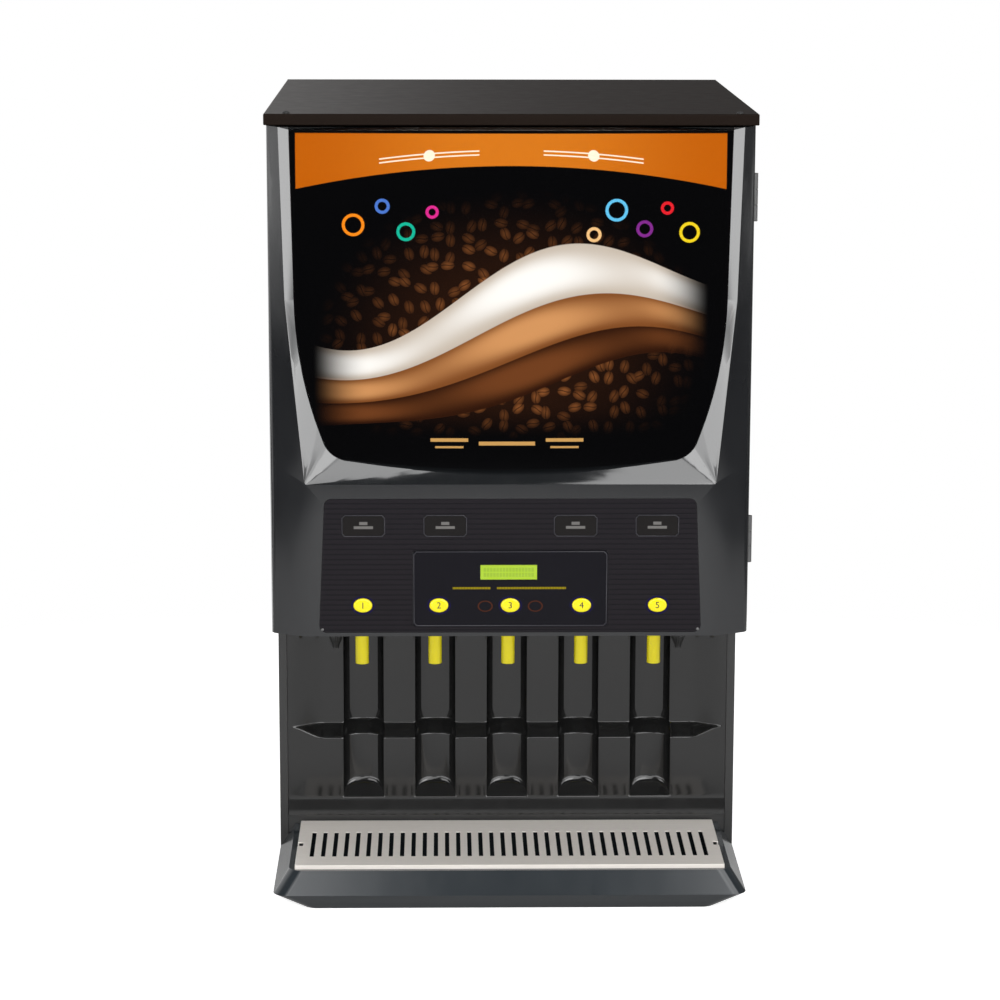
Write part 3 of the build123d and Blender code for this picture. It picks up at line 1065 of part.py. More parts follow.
nodes = {
    "base_pan": base_pan(),
    "left_side_panel": side_panel(-1),
    "right_side_panel": side_panel(1),
    "rear_cover": rear_cover(),
    "top_cover": top_cover(),
    "bulkhead": bulkhead(),
    "hopper_shelf": hopper_shelf(),
    "splash_panel": splash_panel(),
    "thumb_screws": thumb_screws(),
    "rubber_feet": rubber_feet(),
    "drip_tray": drip_tray(),
    "drip_grille": drip_grille(),
    "door_shell": door_shell(),
    "window_lens": window_lens(),
    "light_box": light_box(),
    "lamp_tubes": lamp_tubes(),
    "control_panel": control_panel(),
    "display_module": display_module(),
    "lcd_window": lcd_window(),
    "control_board": control_board(),
    "door_liner": door_liner(),
    "door_hinges": hinge_leaves(True),
    "cabinet_hinges": hinge_leaves(False),
    "door_catch": door_catch(),
    "mixing_bowls": group([mixing_bowl(x) for x in STATION_X]),
    "nozzle_tips": group([nozzle_tip(x) for x in STATION_X]),
    "mixer_motors": group([mixer_motor(x) for x in STATION_X]),
    "hopper_lids": group([hopper_lid(x) for x in STATION_X]),
    "auger_motors": group([auger_motor(x) for x in STATION_X]),
    "hot_water_tank": hot_water_tank(),
    "heating_element": heating_element(),
    "water_valves": group([water_valve(x) for x in STATION_X]),
    "hot_water_tubes": group([hot_water_tube(x) for x in STATION_X]),
    "water_inlet": water_inlet(),
    "cord_gland": cord_gland(),
}
screw = auger()
for i, x in enumerate(STATION_X):
    nodes[f"hopper_{i + 1}"] = hopper(x)
    nodes[f"auger_{i + 1}"] = Pos(x, 0, AUGER_Z) * screw
    nodes[f"elbow_{i + 1}"] = elbow(x)
    nodes[f"whipper_{i + 1}"] = whipper(x)
    nodes[f"dispense_button_{i + 1}"] = dispense_button(BUTTON_X[i])

os.makedirs("parts", exist_ok=True)
for name, shape in nodes.items():
    export_step(shape, f"parts/{name}.step")
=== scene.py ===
# %% [markdown]
# # A cappuccino dispenser, dressed for its portrait
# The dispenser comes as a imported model: sheet-metal cabinet, moulded door, splash panel, tray and the works
# inside. Blender adds what the eye looks for, such as rounded edges, prints, screws and finishes.
# Everything is in metres in the model's own frame: X to the right, Y to the back, Z up.

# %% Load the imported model
import json
import math

import bmesh
import bpy
from mathutils import Matrix, Vector


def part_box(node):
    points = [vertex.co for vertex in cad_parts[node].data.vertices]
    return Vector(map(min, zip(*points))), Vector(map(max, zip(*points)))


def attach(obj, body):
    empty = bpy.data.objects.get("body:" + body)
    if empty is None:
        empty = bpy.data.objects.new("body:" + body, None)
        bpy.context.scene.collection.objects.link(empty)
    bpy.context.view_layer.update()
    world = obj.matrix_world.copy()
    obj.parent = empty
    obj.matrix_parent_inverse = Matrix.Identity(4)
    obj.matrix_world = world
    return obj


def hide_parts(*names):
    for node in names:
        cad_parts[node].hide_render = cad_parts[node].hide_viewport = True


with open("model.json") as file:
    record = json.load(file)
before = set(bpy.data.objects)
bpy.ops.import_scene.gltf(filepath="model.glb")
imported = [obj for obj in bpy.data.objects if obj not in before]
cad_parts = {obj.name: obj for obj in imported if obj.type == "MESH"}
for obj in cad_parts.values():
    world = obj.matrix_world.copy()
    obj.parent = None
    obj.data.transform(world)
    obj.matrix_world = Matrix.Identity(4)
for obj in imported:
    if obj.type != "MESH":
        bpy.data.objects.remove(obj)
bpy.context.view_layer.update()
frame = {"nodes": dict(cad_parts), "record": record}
nodes = frame["nodes"]
scene = bpy.context.scene
scene.view_settings.view_transform = "Standard"
MM = 0.001

# %% [markdown]
# ## Writing node trees as sums
# A shader is easier to read as arithmetic than as a list of links.
# `Wire` wraps one socket, and each operator on it adds the Math node that does that sum.
# `Graph` adds any other node, and serves shaders, the world and geometry nodes alike.

# %% Helpers for node trees


class Wire:
    """A socket that takes part in sums."""

    def __init__(self, graph, socket):
        self.graph, self.socket = graph, socket

    def math(self, operation, *others, first=None):
        values = ([] if first is None else [first]) + [self, *others]
        return self.graph.node("ShaderNodeMath", {"operation": operation}, dict(enumerate(values)))

    def __add__(self, other):
        return self.math("ADD", other)

    def __sub__(self, other):
        return self.math("SUBTRACT", other)

    def __rsub__(self, other):
        return self.math("SUBTRACT", first=other)

    def __mul__(self, other):
        return self.math("MULTIPLY", other)

    def __truediv__(self, other):
        return self.math("DIVIDE", other)

    def __abs__(self):
        return self.math("ABSOLUTE")

    __radd__ = __add__
    __rmul__ = __mul__

    def rise(self, low, high):
        """0 up to low, 1 from high, smooth between; with low above high it falls instead."""
        ends = {"From Min": low, "From Max": high, "Value": self}
        return self.graph.node("ShaderNodeMapRange", {"interpolation_type": "SMOOTHSTEP"}, ends)

    def band(self, low, high, soft):
        """1 between low and high, with soft edges."""
        return self.rise(low - soft, low + soft) * self.rise(high + soft, high - soft)


class Graph:
    """A node tree that is filled by calls."""

    def __init__(self, tree):
        self.tree = tree

    def feed(self, socket, value):
        if isinstance(value, Wire):
            self.tree.links.new(value.socket, socket)
        else:
            socket.default_value = value

    def node(self, kind, settings=None, inputs=None, output=0):
        node = self.tree.nodes.new(kind)
        for key, value in (settings or {}).items():
            setattr(node, key, value)
        for key, value in (inputs or {}).items():
            self.feed(node.inputs[key], value)
        return Wire(self, node.outputs[output])

    def mix(self, below, above, factor):
        """Colour above laid over colour below."""
        return self.node("ShaderNodeMix", {"data_type": "RGBA"}, {0: factor, 6: below, 7: above}, 2)


class Finish(Graph):
    """One material, with its place on the piece in metres."""

    def __init__(self, name, fixed=None):
        self.material = bpy.data.materials.new(name)
        self.material.use_nodes = True
        super().__init__(self.material.node_tree)
        self.shader = self.tree.nodes["Principled BSDF"]
        self.set(fixed or {})
        self.place = self.node("ShaderNodeTexCoord", output="Object")

    def set(self, sockets):
        for key, value in sockets.items():
            self.feed(self.shader.inputs[key], value)

    def axes(self):
        """X, Y and Z in millimetres."""
        split = self.node("ShaderNodeSeparateXYZ", None, {0: self.place}).socket.node
        return [Wire(self, socket) * (1 / MM) for socket in split.outputs]

    def noise(self, size_mm, detail=2.0, stretch=None):
        """Noise with features of a size in millimetres, longer along an axis whose stretch is small."""
        place = self.place
        if stretch:
            place = self.node("ShaderNodeMapping", None, {"Vector": place, "Scale": stretch})
        sockets = {"Vector": place, "Scale": 1 / (size_mm * MM), "Detail": detail}
        return self.node("ShaderNodeTexNoise", None, sockets)

    def bump(self, height, depth_mm):
        """Feeds the normal from a height between 0 and 1."""
        sockets = {"Height": height, "Distance": depth_mm * MM, "Strength": 1.0}
        self.set({"Normal": self.node("ShaderNodeBump", None, sockets)})


def colour(red, green, blue):
    """A shader colour from the eight-bit sRGB values that a picture of it shows."""
    def linear(value):
        value /= 255
        return value / 12.92 if value <= 0.04045 else ((value + 0.055) / 1.055) ** 2.4
    return (linear(red), linear(green), linear(blue), 1.0)


def shade(tint, factor):
    return tuple(min(1.0, channel * factor) for channel in tint[:3]) + (1.0,)


print("helpers ready")

# %% [markdown]
# ## Camera
# The viewpoint is worked out from the picture's own lines: a long lens a little left of the middle, looking
# slightly down. The focal length is in pixels of the picture, and the sensor's width turns it into
# millimetres.

# %% Camera
CAMERA_AT = Vector((-0.0748, -3.6365, 1.1286))
YAW, PITCH, ROLL = 0.0188, 0.1971, -0.0023
FOCAL_PIXELS, IMAGE_PIXELS = 3187.0, 1000.0
SENSOR_MM = 36.0
forward = Vector((math.sin(YAW) * math.cos(PITCH), math.cos(YAW) * math.cos(PITCH), -math.sin(PITCH)))
level = Vector((math.cos(YAW), -math.sin(YAW), 0))
drop = forward.cross(level)
right = math.cos(ROLL) * level + math.sin(ROLL) * drop
up = math.sin(ROLL) * level - math.cos(ROLL) * drop
lens_data = bpy.data.cameras.new("camera")
lens_data.sensor_width = SENSOR_MM
lens_data.lens = FOCAL_PIXELS / IMAGE_PIXELS * SENSOR_MM
camera = bpy.data.objects.new("camera", lens_data)
scene.collection.objects.link(camera)
camera.matrix_world = Matrix.Translation(CAMERA_AT) @ Matrix((right, up, -forward)).transposed().to_4x4()
scene.camera = camera
print("lens", round(lens_data.lens, 1), "mm")

# %% [markdown]
# ## Studio
# Black gloss shows the room more than itself, so the room has two jobs. Soft panels light the object at a
# plain level. White cards, which only mirror-like surfaces see, draw the shine: a low card along each side
# for the bevel beside the window, a strip in front with a gap in its middle for the tray, and a card high
# in front for the bevel below the window, which ends where that bevel turns dark. The space behind the
# camera stays dark, which keeps the window deep. Each edge of a card is a smooth step, given as the two
# values where it starts and where it ends.

# %% World
world = bpy.data.worlds.new("studio")
scene.world = world
world.use_nodes = True
room = Graph(world.node_tree)
AMBIENT = 0.2
DARK_ROOM = 0.05
BACKDROP_RIGHT, BACKDROP_MORE = 0.18, 1.35
BACKDROP_TURN, BACKDROP_START = (0.03, -0.13), (-0.3, 0.4)
SIDE_CARD, STRIP, HIGH_CARD = 4.9, 4.2, 3.6
GAP_X = 0.026
SIDE_INNER, SIDE_BOTTOM = (0.45, 0.6), (-0.117, -0.093)
SIDE_DROP, SIDE_DROPPED = 0.2, (0.6, 0.8)
STRIP_INNER, STRIP_OUTER, STRIP_BOTTOM = (0.035, 0.085), (0.8, 0.6), (-0.05, -0.02)
STRIP_LIFT, STRIP_LIFTED = 0.12, (0.3, 0.2)
LOW_TOP, LOW_BACK = (0.29, 0.26), (0.3, 0.15)
HIGH_BOTTOM, HIGH_SLANT, HIGH_END, HIGH_BACK = (0.26, 0.34), 3, (0.65, 0.62), (-0.3, -0.4)
path = room.node("ShaderNodeLightPath").socket.node
seen = Wire(room, path.outputs["Is Camera Ray"])
through = Wire(room, path.outputs["Is Transmission Ray"])
mirrored = Wire(room, path.outputs["Is Glossy Ray"]).math("MAXIMUM", through)
direction = room.node("ShaderNodeTexCoord", output="Generated")
way = room.node("ShaderNodeSeparateXYZ", None, {0: direction}).socket.node
sideways, backward, upward = (Wire(room, way.outputs[axis]) for axis in "XYZ")
backdrop = BACKDROP_RIGHT + BACKDROP_MORE * sideways.rise(*BACKDROP_TURN)
dim = DARK_ROOM + (backdrop - DARK_ROOM) * backward.rise(*BACKDROP_START)
outward = abs(sideways - GAP_X)
side_drop = SIDE_DROP * outward.rise(*SIDE_DROPPED)
side_card = outward.rise(*SIDE_INNER) * upward.rise(*SIDE_BOTTOM) * (upward + side_drop).rise(*LOW_TOP)
strip_lift = STRIP_LIFT * outward.rise(*STRIP_LIFTED)
front_strip = outward.rise(*STRIP_INNER) * (upward - strip_lift).rise(*STRIP_BOTTOM)
front_strip = front_strip * upward.rise(*LOW_TOP) * outward.rise(*STRIP_OUTER)
low_cards = (SIDE_CARD * side_card).math("MAXIMUM", STRIP * front_strip) * backward.rise(*LOW_BACK)
high_card = upward.rise(*HIGH_BOTTOM) * (upward - HIGH_SLANT * sideways).rise(*HIGH_END)
high_card = high_card * backward.rise(*HIGH_BACK)
reflected = dim.math("MAXIMUM", low_cards).math("MAXIMUM", HIGH_CARD * high_card)
strength = seen + (1 - seen) * (mirrored * reflected + (1 - mirrored) * AMBIENT)
background = world.node_tree.nodes["Background"]
background.inputs["Color"].default_value = (1, 1, 1, 1)
room.feed(background.inputs["Strength"], strength)
print("world ready")

# %% [markdown]
# ## Floor and lamps
# The floor is a sheet of white paper that fades out at its edges, so that no horizon shows. It glows for
# the camera and for mirror-like surfaces. Close to the object its glow in mirror-like surfaces is weaker,
# a painted shadow; diffuse light also leaves a soft shadow on it. Area lamps stand in front, high at both
# sides and behind. The fill and the rear lamp are hidden from mirror-like surfaces, so they brighten without
# a patch of shine.

# %% Floor
FLOOR_HALF, FLOOR_FRONT, FLOOR_BACK = 2.0, -2.8, 1.2
FADE_FROM, FADE_TO = 1800, 1980
SHADE_FROM, SHADE_TO = 330, 620
PAPER_GLOW = 0.85
MIRRORED_NEAR, MIRRORED_MORE = 0.25, 0.55
floor_mesh = bpy.data.meshes.new("floor")
corners = [(-FLOOR_HALF, FLOOR_FRONT), (FLOOR_HALF, FLOOR_FRONT)]
corners += [(FLOOR_HALF, FLOOR_BACK), (-FLOOR_HALF, FLOOR_BACK)]
floor_mesh.from_pydata([(x, y, 0) for x, y in corners], [], [(0, 1, 2, 3)])
floor = bpy.data.objects.new("floor", floor_mesh)
scene.collection.objects.link(floor)
paper = Finish("white_paper", {"Roughness": 0.9, "Specular IOR Level": 0.1, "Emission Strength": PAPER_GLOW})
x, y, z = paper.axes()
middle = (FLOOR_FRONT + FLOOR_BACK) / 2 / MM
away = ((x * x) + (y - middle) * (y - middle)).math("SQRT")
path = paper.node("ShaderNodeLightPath").socket.node
seen = Wire(paper, path.outputs["Is Camera Ray"])
# Painted shadow on the paper: mirror-like surfaces see its glow weaker close to the object, full from 620 mm
# away.
outside_painted_shadow = ((x * x) + (y * y)).math("SQRT").rise(SHADE_FROM, SHADE_TO)
lit = Wire(paper, path.outputs["Is Glossy Ray"]) * (MIRRORED_NEAR + MIRRORED_MORE * outside_painted_shadow)
lit = seen.math("MAXIMUM", lit)
white = paper.mix(colour(236, 236, 236), colour(246, 246, 246), paper.noise(90))
paper.set({
    "Base Color": paper.mix(colour(175, 175, 175), white, seen),
    "Emission Color": paper.mix((0, 0, 0, 1), (1, 1, 1, 1), lit),
    "Alpha": away.rise(FADE_TO, FADE_FROM),
})
floor_mesh.materials.append(paper.material)
print("floor", floor_mesh.name)

# %% Lamps


def panel(name, place, target, width, height, radiance):
    """A rectangular lamp that faces a target; radiance is how bright its face looks."""
    lamp = bpy.data.lights.new(name, "AREA")
    lamp.shape = "RECTANGLE"
    lamp.size, lamp.size_y, lamp.energy = width, height, radiance * math.pi * width * height
    holder = bpy.data.objects.new(name, lamp)
    aim = (Vector(place) - Vector(target)).to_track_quat("Z", "Y").to_matrix().to_4x4()
    holder.matrix_world = Matrix.Translation(place) @ aim
    scene.collection.objects.link(holder)
    return holder


LAMPS = [  # name, place, target, width, height, radiance
    ("left_front_panel", (-0.76, -2.6, 1.0), (-0.76, 0, 1.0), 1.2, 0.6, 1.5),
    ("left_high_panel", (-0.88, -1.9, 1.85), (-0.7, -0.2, 0.4), 1.0, 1.1, 4.5),
    ("right_front_panel", (0.76, -2.6, 1.0), (0.76, 0, 1.0), 1.2, 0.6, 1.5),
    ("right_high_panel", (0.88, -1.9, 1.85), (0.7, -0.2, 0.4), 1.0, 1.1, 4.5),
    ("fill_panel", (0, -3.0, 0.7), (0, 0, 0.3), 2.2, 0.6, 8.6),
    ("rear_panel", (0, 2.8, 1.5), (0, 0.3, 0.4), 2.2, 1.0, 4.0),
]
HIDDEN_FROM_GLOSS = ("fill_panel", "rear_panel")
for lamp in LAMPS:
    panel(*lamp).visible_glossy = lamp[0] not in HIDDEN_FROM_GLOSS
print("lamps", len(LAMPS))

# %% [markdown]
# ## Finishes
# Each finish is a function of place, so it has no seams: slow mottling in the colour, a drift in the gloss
# such as hands and wiping leave, and a fine grain in the surface.

# %% Plastic, paint, steel and rubber
MOTTLE_MM, WIPE_MM, WIPE_STRETCH = 55, 16, (1, 1, 0.4)
FINE_LINE_MM, BROAD_LINE_MM, LINE_DEEP_MM = 0.35, 2.5, 0.012
finishes = {}


def moulded(name, tint, roughness, drift=0.06, grain_mm=0.7, grain_depth=0.01, mottle=0.12, fixed=None):
    """Moulded plastic or sprayed paint."""
    finish = Finish(name, fixed)
    slow, wiped = finish.noise(MOTTLE_MM, 3), finish.noise(WIPE_MM, 4, WIPE_STRETCH)
    finish.set({
        "Base Color": finish.mix(shade(tint, 1 - mottle), shade(tint, 1 + mottle), slow),
        "Roughness": roughness + drift * 2 * (wiped - 0.5),
    })
    finish.bump(finish.noise(grain_mm, 3), grain_depth)
    finishes[name] = finish.material


def brushed(name, tint, roughness, stretch, metal=1.0):
    """Brushed metal; stretch is small along the brushing, and metal is less where a sheet looks pale."""
    finish = Finish(name, {"Metallic": metal})
    fine, broad = finish.noise(FINE_LINE_MM, 2, stretch), finish.noise(BROAD_LINE_MM, 3, stretch)
    lines = 0.6 * fine + 0.4 * broad
    finish.set({
        "Base Color": finish.mix(shade(tint, 0.82), shade(tint, 1.1), lines),
        "Roughness": roughness + 0.16 * (lines - 0.5),
    })
    finish.bump(lines, LINE_DEEP_MM)
    finishes[name] = finish.material


LONG_X, LONG_Y, LONG_Z = (0.03, 1, 1), (1, 0.03, 1), (1, 1, 0.03)
FAINT_SHINE = {"Specular IOR Level": 0.04}
CLEAR_COAT = {"Coat Weight": 1.0, "Coat Roughness": 0.04}
MILKY = {"Transmission Weight": 0.35, "IOR": 1.49}
SMOKY = {"Transmission Weight": 0.25}
moulded("cover_paint", colour(27, 20, 16), 0.42, 0.05, 0.9, 0.006, 0.12, FAINT_SHINE)
moulded("cabinet_paint", colour(40, 40, 40), 0.36, 0.05, 0.9, 0.03)
moulded("door_gloss", colour(33, 34, 36), 0.11, 0.03, 0.8, 0.003, 0.08)
moulded("bevel_gloss", colour(26, 28, 30), 0.07, 0.03, 0.8, 0.002, 0.1, CLEAR_COAT)
moulded("splash_gloss", colour(26, 26, 26), 0.1, 0.03, 0.9, 0.003, 0.06)
moulded("tray_gloss", colour(46, 51, 55), 0.1, 0.03, 0.9, 0.006, 0.08)
moulded("black_moulding", colour(12, 12, 12), 0.45, 0.06, 0.6, 0.02)
moulded("yellow_gloss", colour(255, 236, 14), 0.2, 0.05, 0.8, 0.004, 0.04)
moulded("natural_bin", colour(226, 227, 222), 0.34, 0.06, 0.8, 0.02, 0.03, MILKY)
moulded("white_moulding", colour(232, 232, 228), 0.38, 0.05, 0.6, 0.015, 0.03)
moulded("smoke_moulding", colour(112, 108, 102), 0.3, 0.05, 0.6, 0.01, 0.06, SMOKY)
moulded("motor_paint", colour(120, 124, 126), 0.4, 0.06, 0.5, 0.02)
moulded("coil_black", colour(52, 53, 56), 0.5, 0.06, 0.5, 0.02)
moulded("soft_tube", colour(222, 224, 224), 0.5, 0.05, 0.5, 0.01, 0.04)
moulded("foot_rubber", colour(28, 28, 28), 0.75, 0.08, 0.5, 0.04)
moulded("lamp_white", colour(240, 240, 236), 0.4, 0.05, 0.8, 0.01, 0.02)
brushed("grille_steel", colour(243, 237, 230), 0.45, LONG_X, 0.12)
brushed("hinge_steel", colour(92, 92, 92), 0.4, LONG_Z, 0.6)
brushed("inner_steel", colour(198, 200, 202), 0.36, LONG_Z)
brushed("plain_steel", colour(176, 178, 180), 0.32, LONG_Y)
brushed("brass", colour(206, 168, 92), 0.3, LONG_Y)
print("finishes", len(finishes))

# %% [markdown]
# ## The lit window's print
# The window is a bowed black sheet with a print behind it: an orange band along the top, and below it a
# picture. The picture here is a plain design of its own, with coffee beans in a warm glow, and waves of
# cream and coffee that run across from side to side. It is drawn as sums of X and Z, because a print made
# of formulas stays sharp at any distance.

# %% Sheet of the window
PANE_SHINE = {"Roughness": 0.05, "Specular IOR Level": 0.22, "Coat Weight": 0.1, "Coat Roughness": 0.03}
pane = Finish("window_print", {**PANE_SHINE, "Emission Strength": 0.05})
x, y, z = pane.axes()
SOFT = 0.5
BLACK = colour(4, 4, 5)
print("sheet", pane.material.name)

# %% Coffee beans in a glow
GLOW_Z, GLOW_FLATTENED, GLOW_EDGE, GLOW_BOTTOM = 628, 1.7, (215, 60), (520, 560)
BEAN_MM, BEAN_DISORDER, BEAN_LONG_SQUARE, BEAN_WIDE_SQUARE = 17.0, 0.75, 62, 30
FULL_TURN = 6.283
spread = ((x * x) + (z - GLOW_Z) * (z - GLOW_Z) * GLOW_FLATTENED).math("SQRT")
glow = spread.rise(*GLOW_EDGE) * z.rise(*GLOW_BOTTOM)
flat_place = pane.node("ShaderNodeCombineXYZ", None, {0: x, 1: z})
cells = pane.node("ShaderNodeTexVoronoi", {"voronoi_dimensions": "2D"}, {
    "Vector": flat_place, "Scale": 1 / BEAN_MM, "Randomness": BEAN_DISORDER,
}).socket.node
cell_place, cell_colour = (Wire(pane, cells.outputs[name]) for name in ("Position", "Color"))
centre = pane.node("ShaderNodeSeparateXYZ", None, {0: cell_place}).socket.node.outputs
chance = pane.node("ShaderNodeSeparateColor", None, {0: cell_colour}).socket.node.outputs
turn = Wire(pane, chance[0]) * FULL_TURN
across, along = x - Wire(pane, centre[0]), z - Wire(pane, centre[1])
bean_u = across * turn.math("COSINE") + along * turn.math("SINE")
bean_v = along * turn.math("COSINE") - across * turn.math("SINE")
bean = ((bean_u * bean_u) / BEAN_LONG_SQUARE + (bean_v * bean_v) / BEAN_WIDE_SQUARE).math("SQRT")
crease = abs(bean_v + 0.9 * (bean_u * 0.35).math("SINE")).rise(0.9, 0.3)
body = bean.rise(1.0, 0.82) * (1 - 0.75 * crease)
bean_shade = body * (0.35 + 0.65 * bean.rise(0.9, 0.1)) * (0.45 + 0.55 * Wire(pane, chance[1]))
picture = pane.mix(BLACK, colour(50, 26, 12), glow * 0.5)
picture = pane.mix(picture, colour(132, 78, 40), bean_shade * glow)
print("beans ready")

# %% Ribbons of cream and coffee
WAVE_Z, WAVE_HIGH, WAVE_LONG, WAVE_TILT = 636, 34, 78, 0.1
THICK, THICK_MORE, THICK_LONG = 46, 14, 61
RIBBON_ENDS, RIBBON_SOFT = (212, 150), 0.012
wave = WAVE_Z + WAVE_HIGH * (x / WAVE_LONG + 0.5).math("SINE") + WAVE_TILT * x
thick = THICK + THICK_MORE * (x / THICK_LONG + 1.2).math("SINE")
depth = (z - wave) / thick
ends = abs(x).rise(*RIBBON_ENDS)
ribbons = [  # lower edge, upper edge, dark tint, light tint
    (-1.5, -0.72, colour(44, 20, 8), colour(104, 58, 28)),
    (-0.78, 0.06, colour(120, 70, 34), colour(196, 138, 86)),
    (0.0, 1.0, colour(186, 174, 160), colour(236, 233, 228)),
]
for low, high, dark, light in ribbons:
    within = (depth - low) / (high - low)
    sheen = (within * math.pi).math("SINE") * (0.72 + 0.28 * (x / 33 + within * 2).math("SINE"))
    ribbon = pane.mix(dark, light, sheen.rise(0.05, 0.95))
    picture = pane.mix(picture, ribbon, depth.band(low, high, RIBBON_SOFT) * ends)
print("ribbons", len(ribbons))

# %% Rings of colour
RING_MM = 3.2
RINGS = [  # x, z, radius, colour
    (-168, 752, 12, colour(232, 128, 22)),
    (-137, 772, 8, colour(70, 110, 190)),
    (-112, 745, 10, colour(20, 170, 140)),
    (-84, 766, 7, colour(205, 40, 130)),
    (88, 742, 8, colour(224, 178, 120)),
    (112, 768, 12, colour(90, 180, 220)),
    (142, 748, 9, colour(120, 40, 130)),
    (166, 770, 7, colour(214, 30, 40)),
    (190, 744, 11, colour(226, 196, 30)),
]
for ring_x, ring_z, radius, tint in RINGS:
    away = ((x - ring_x) * (x - ring_x) + (z - ring_z) * (z - ring_z)).math("SQRT")
    picture = pane.mix(picture, tint, away.band(radius - RING_MM, radius, SOFT))
print("rings", len(RINGS))

# %% Orange band with its rules, and the bars at the bottom
BAND_TOP, BAND_LOW, BAND_SAG, BAND_HALF = 849.0, 815.0, 4.8e-4, 228.8
LOWER_RULE, UPPER_RULE, RULE_ENDS, RULE_SOFT = (11.5, 12.9), (15.6, 17.0), (34, 140), 0.3
DOT_X, DOT_ABOVE, DOT_EDGE = 87, 14.3, (6.4, 5.6)
BARS_X, BARS_APART = -4, 62
above = z - (BAND_LOW - BAND_SAG * x * x)
band = above.rise(-SOFT, SOFT) * z.rise(BAND_TOP + SOFT, BAND_TOP - SOFT)
band = band * abs(x).rise(BAND_HALF + SOFT, BAND_HALF - SOFT)
orange = pane.mix(colour(198, 110, 24), colour(180, 88, 6), abs(x).rise(30, 225))
picture = pane.mix(picture, orange, band)
rules = above.band(*LOWER_RULE, RULE_SOFT) + above.band(*UPPER_RULE, RULE_SOFT)
rules = rules * abs(x).band(*RULE_ENDS, SOFT)
dot_x, dot_z = abs(x) - DOT_X, above - DOT_ABOVE
dots = (dot_x * dot_x + dot_z * dot_z).math("SQRT").rise(*DOT_EDGE)
picture = pane.mix(picture, colour(248, 226, 200), rules.math("MAXIMUM", dots))
spot = abs(abs(x - BARS_X) - BARS_APART)
bars = z.band(518.6, 522.4, RULE_SOFT) * spot.rise(20.5, 20)
bars = bars + z.band(511.6, 513.8, RULE_SOFT) * spot.rise(15.5, 15)
bars = bars.math("MAXIMUM", z.band(514.6, 518.8, RULE_SOFT) * abs(x - BARS_X).rise(30.5, 30))
picture = pane.mix(picture, colour(190, 146, 84), bars)
pane.set({"Base Color": picture, "Emission Color": picture})
pane.bump(pane.noise(30, 2), 0.004)
print("window print nodes", len(pane.tree.nodes))

# %% [markdown]
# ## Control overlay, display plate and display
# The overlay is a dark violet film with fine stripes pressed into it. The display plate sits in the middle
# of it, nearly black with a broken yellow rule, and the display glows lime. All three are flat, so their
# prints are sums of X and Z like the window's, and one helper rings the buttons on the film and on the
# plate.

# %% Places and helpers for the controls' prints
BUTTON_X, BUTTON_Z = (0.0, 77.5, 160.0), 338.5
LABEL_X, LABEL_Z = (70.5, 159.0), 426.5
NAVY = colour(16, 12, 52)


def nearest(x, places):
    """Distance in X to the nearest of some places that lie on both sides of the middle."""
    gap = abs(abs(x) - places[0])
    for place in places[1:]:
        gap = gap.math("MINIMUM", abs(abs(x) - place))
    return gap


def oval(across, along, half_wide, half_high):
    """Distance from an oval's middle, 1 on its edge."""
    return ((across * across) / half_wide ** 2 + (along * along) / half_high ** 2).math("SQRT")


def button_rings(x, z):
    """The dark ring printed round each button."""
    return oval(nearest(x, BUTTON_X), z - BUTTON_Z, 13.0, 10.3).rise(1.03, 0.97)


print("button columns", BUTTON_X)

# %% Overlay film
film = Finish("control_film", {"Specular IOR Level": 0.12})
x, y, z = film.axes()
STRIPE_MM = 5.6
stripe = (z / STRIPE_MM).math("FRACT").band(0.36, 0.64, 0.12)
beside = nearest(x, LABEL_X)
card = beside.rise(23.2, 22.8) * abs(z - LABEL_Z).rise(11.7, 11.3)
card_bars = beside.rise(4.6, 4.2) * abs(z - LABEL_Z - 2.6).rise(1.9, 1.5)
card_bars = card_bars + beside.rise(10.6, 10.2) * abs(z - LABEL_Z + 1.9).rise(1.7, 1.3)
ink = film.mix(colour(26, 23, 27), colour(12, 11, 15), stripe * 0.9 + 0.1 * film.noise(40))
ink = film.mix(ink, colour(22, 20, 20), card)
ink = film.mix(ink, colour(112, 110, 108), card_bars)
film.set({
    "Base Color": film.mix(ink, NAVY, button_rings(x, z)),
    "Roughness": 0.34 + 0.1 * film.noise(20, 3),
})
film.bump((1 - stripe) * (1 - card), 0.08)
print("film", film.material.name)

# %% Display plate
plate = Finish("display_plate", {"Specular IOR Level": 0.12})
x, y, z = plate.axes()
rule = z.band(356.4, 358.8, 0.2) * (abs(x + 1).rise(62, 61)) * abs(x + 18).rise(3, 4)
dashes = 0.7 + 0.3 * (x / 3.1).math("FRACT").band(0.12, 0.88, 0.08)
PAD_X, PAD_Z, PAD_HALF = 27.2, 337.5, (8.2, 6.2)
pad_line = oval(nearest(x, (PAD_X,)), z - PAD_Z, *PAD_HALF).band(0.82, 1.0, 0.04)
ink = plate.mix(colour(10, 9, 15), colour(14, 13, 19), plate.noise(35, 3))
ink = plate.mix(ink, colour(70, 34, 18), pad_line)
ink = plate.mix(ink, NAVY, button_rings(x, z))
plate.set({
    "Base Color": plate.mix(ink, colour(138, 122, 16), rule * dashes),
    "Roughness": 0.3 + 0.1 * plate.noise(18, 3),
})
plate.bump(plate.noise(0.6, 2), 0.006)
print("plate", plate.material.name)

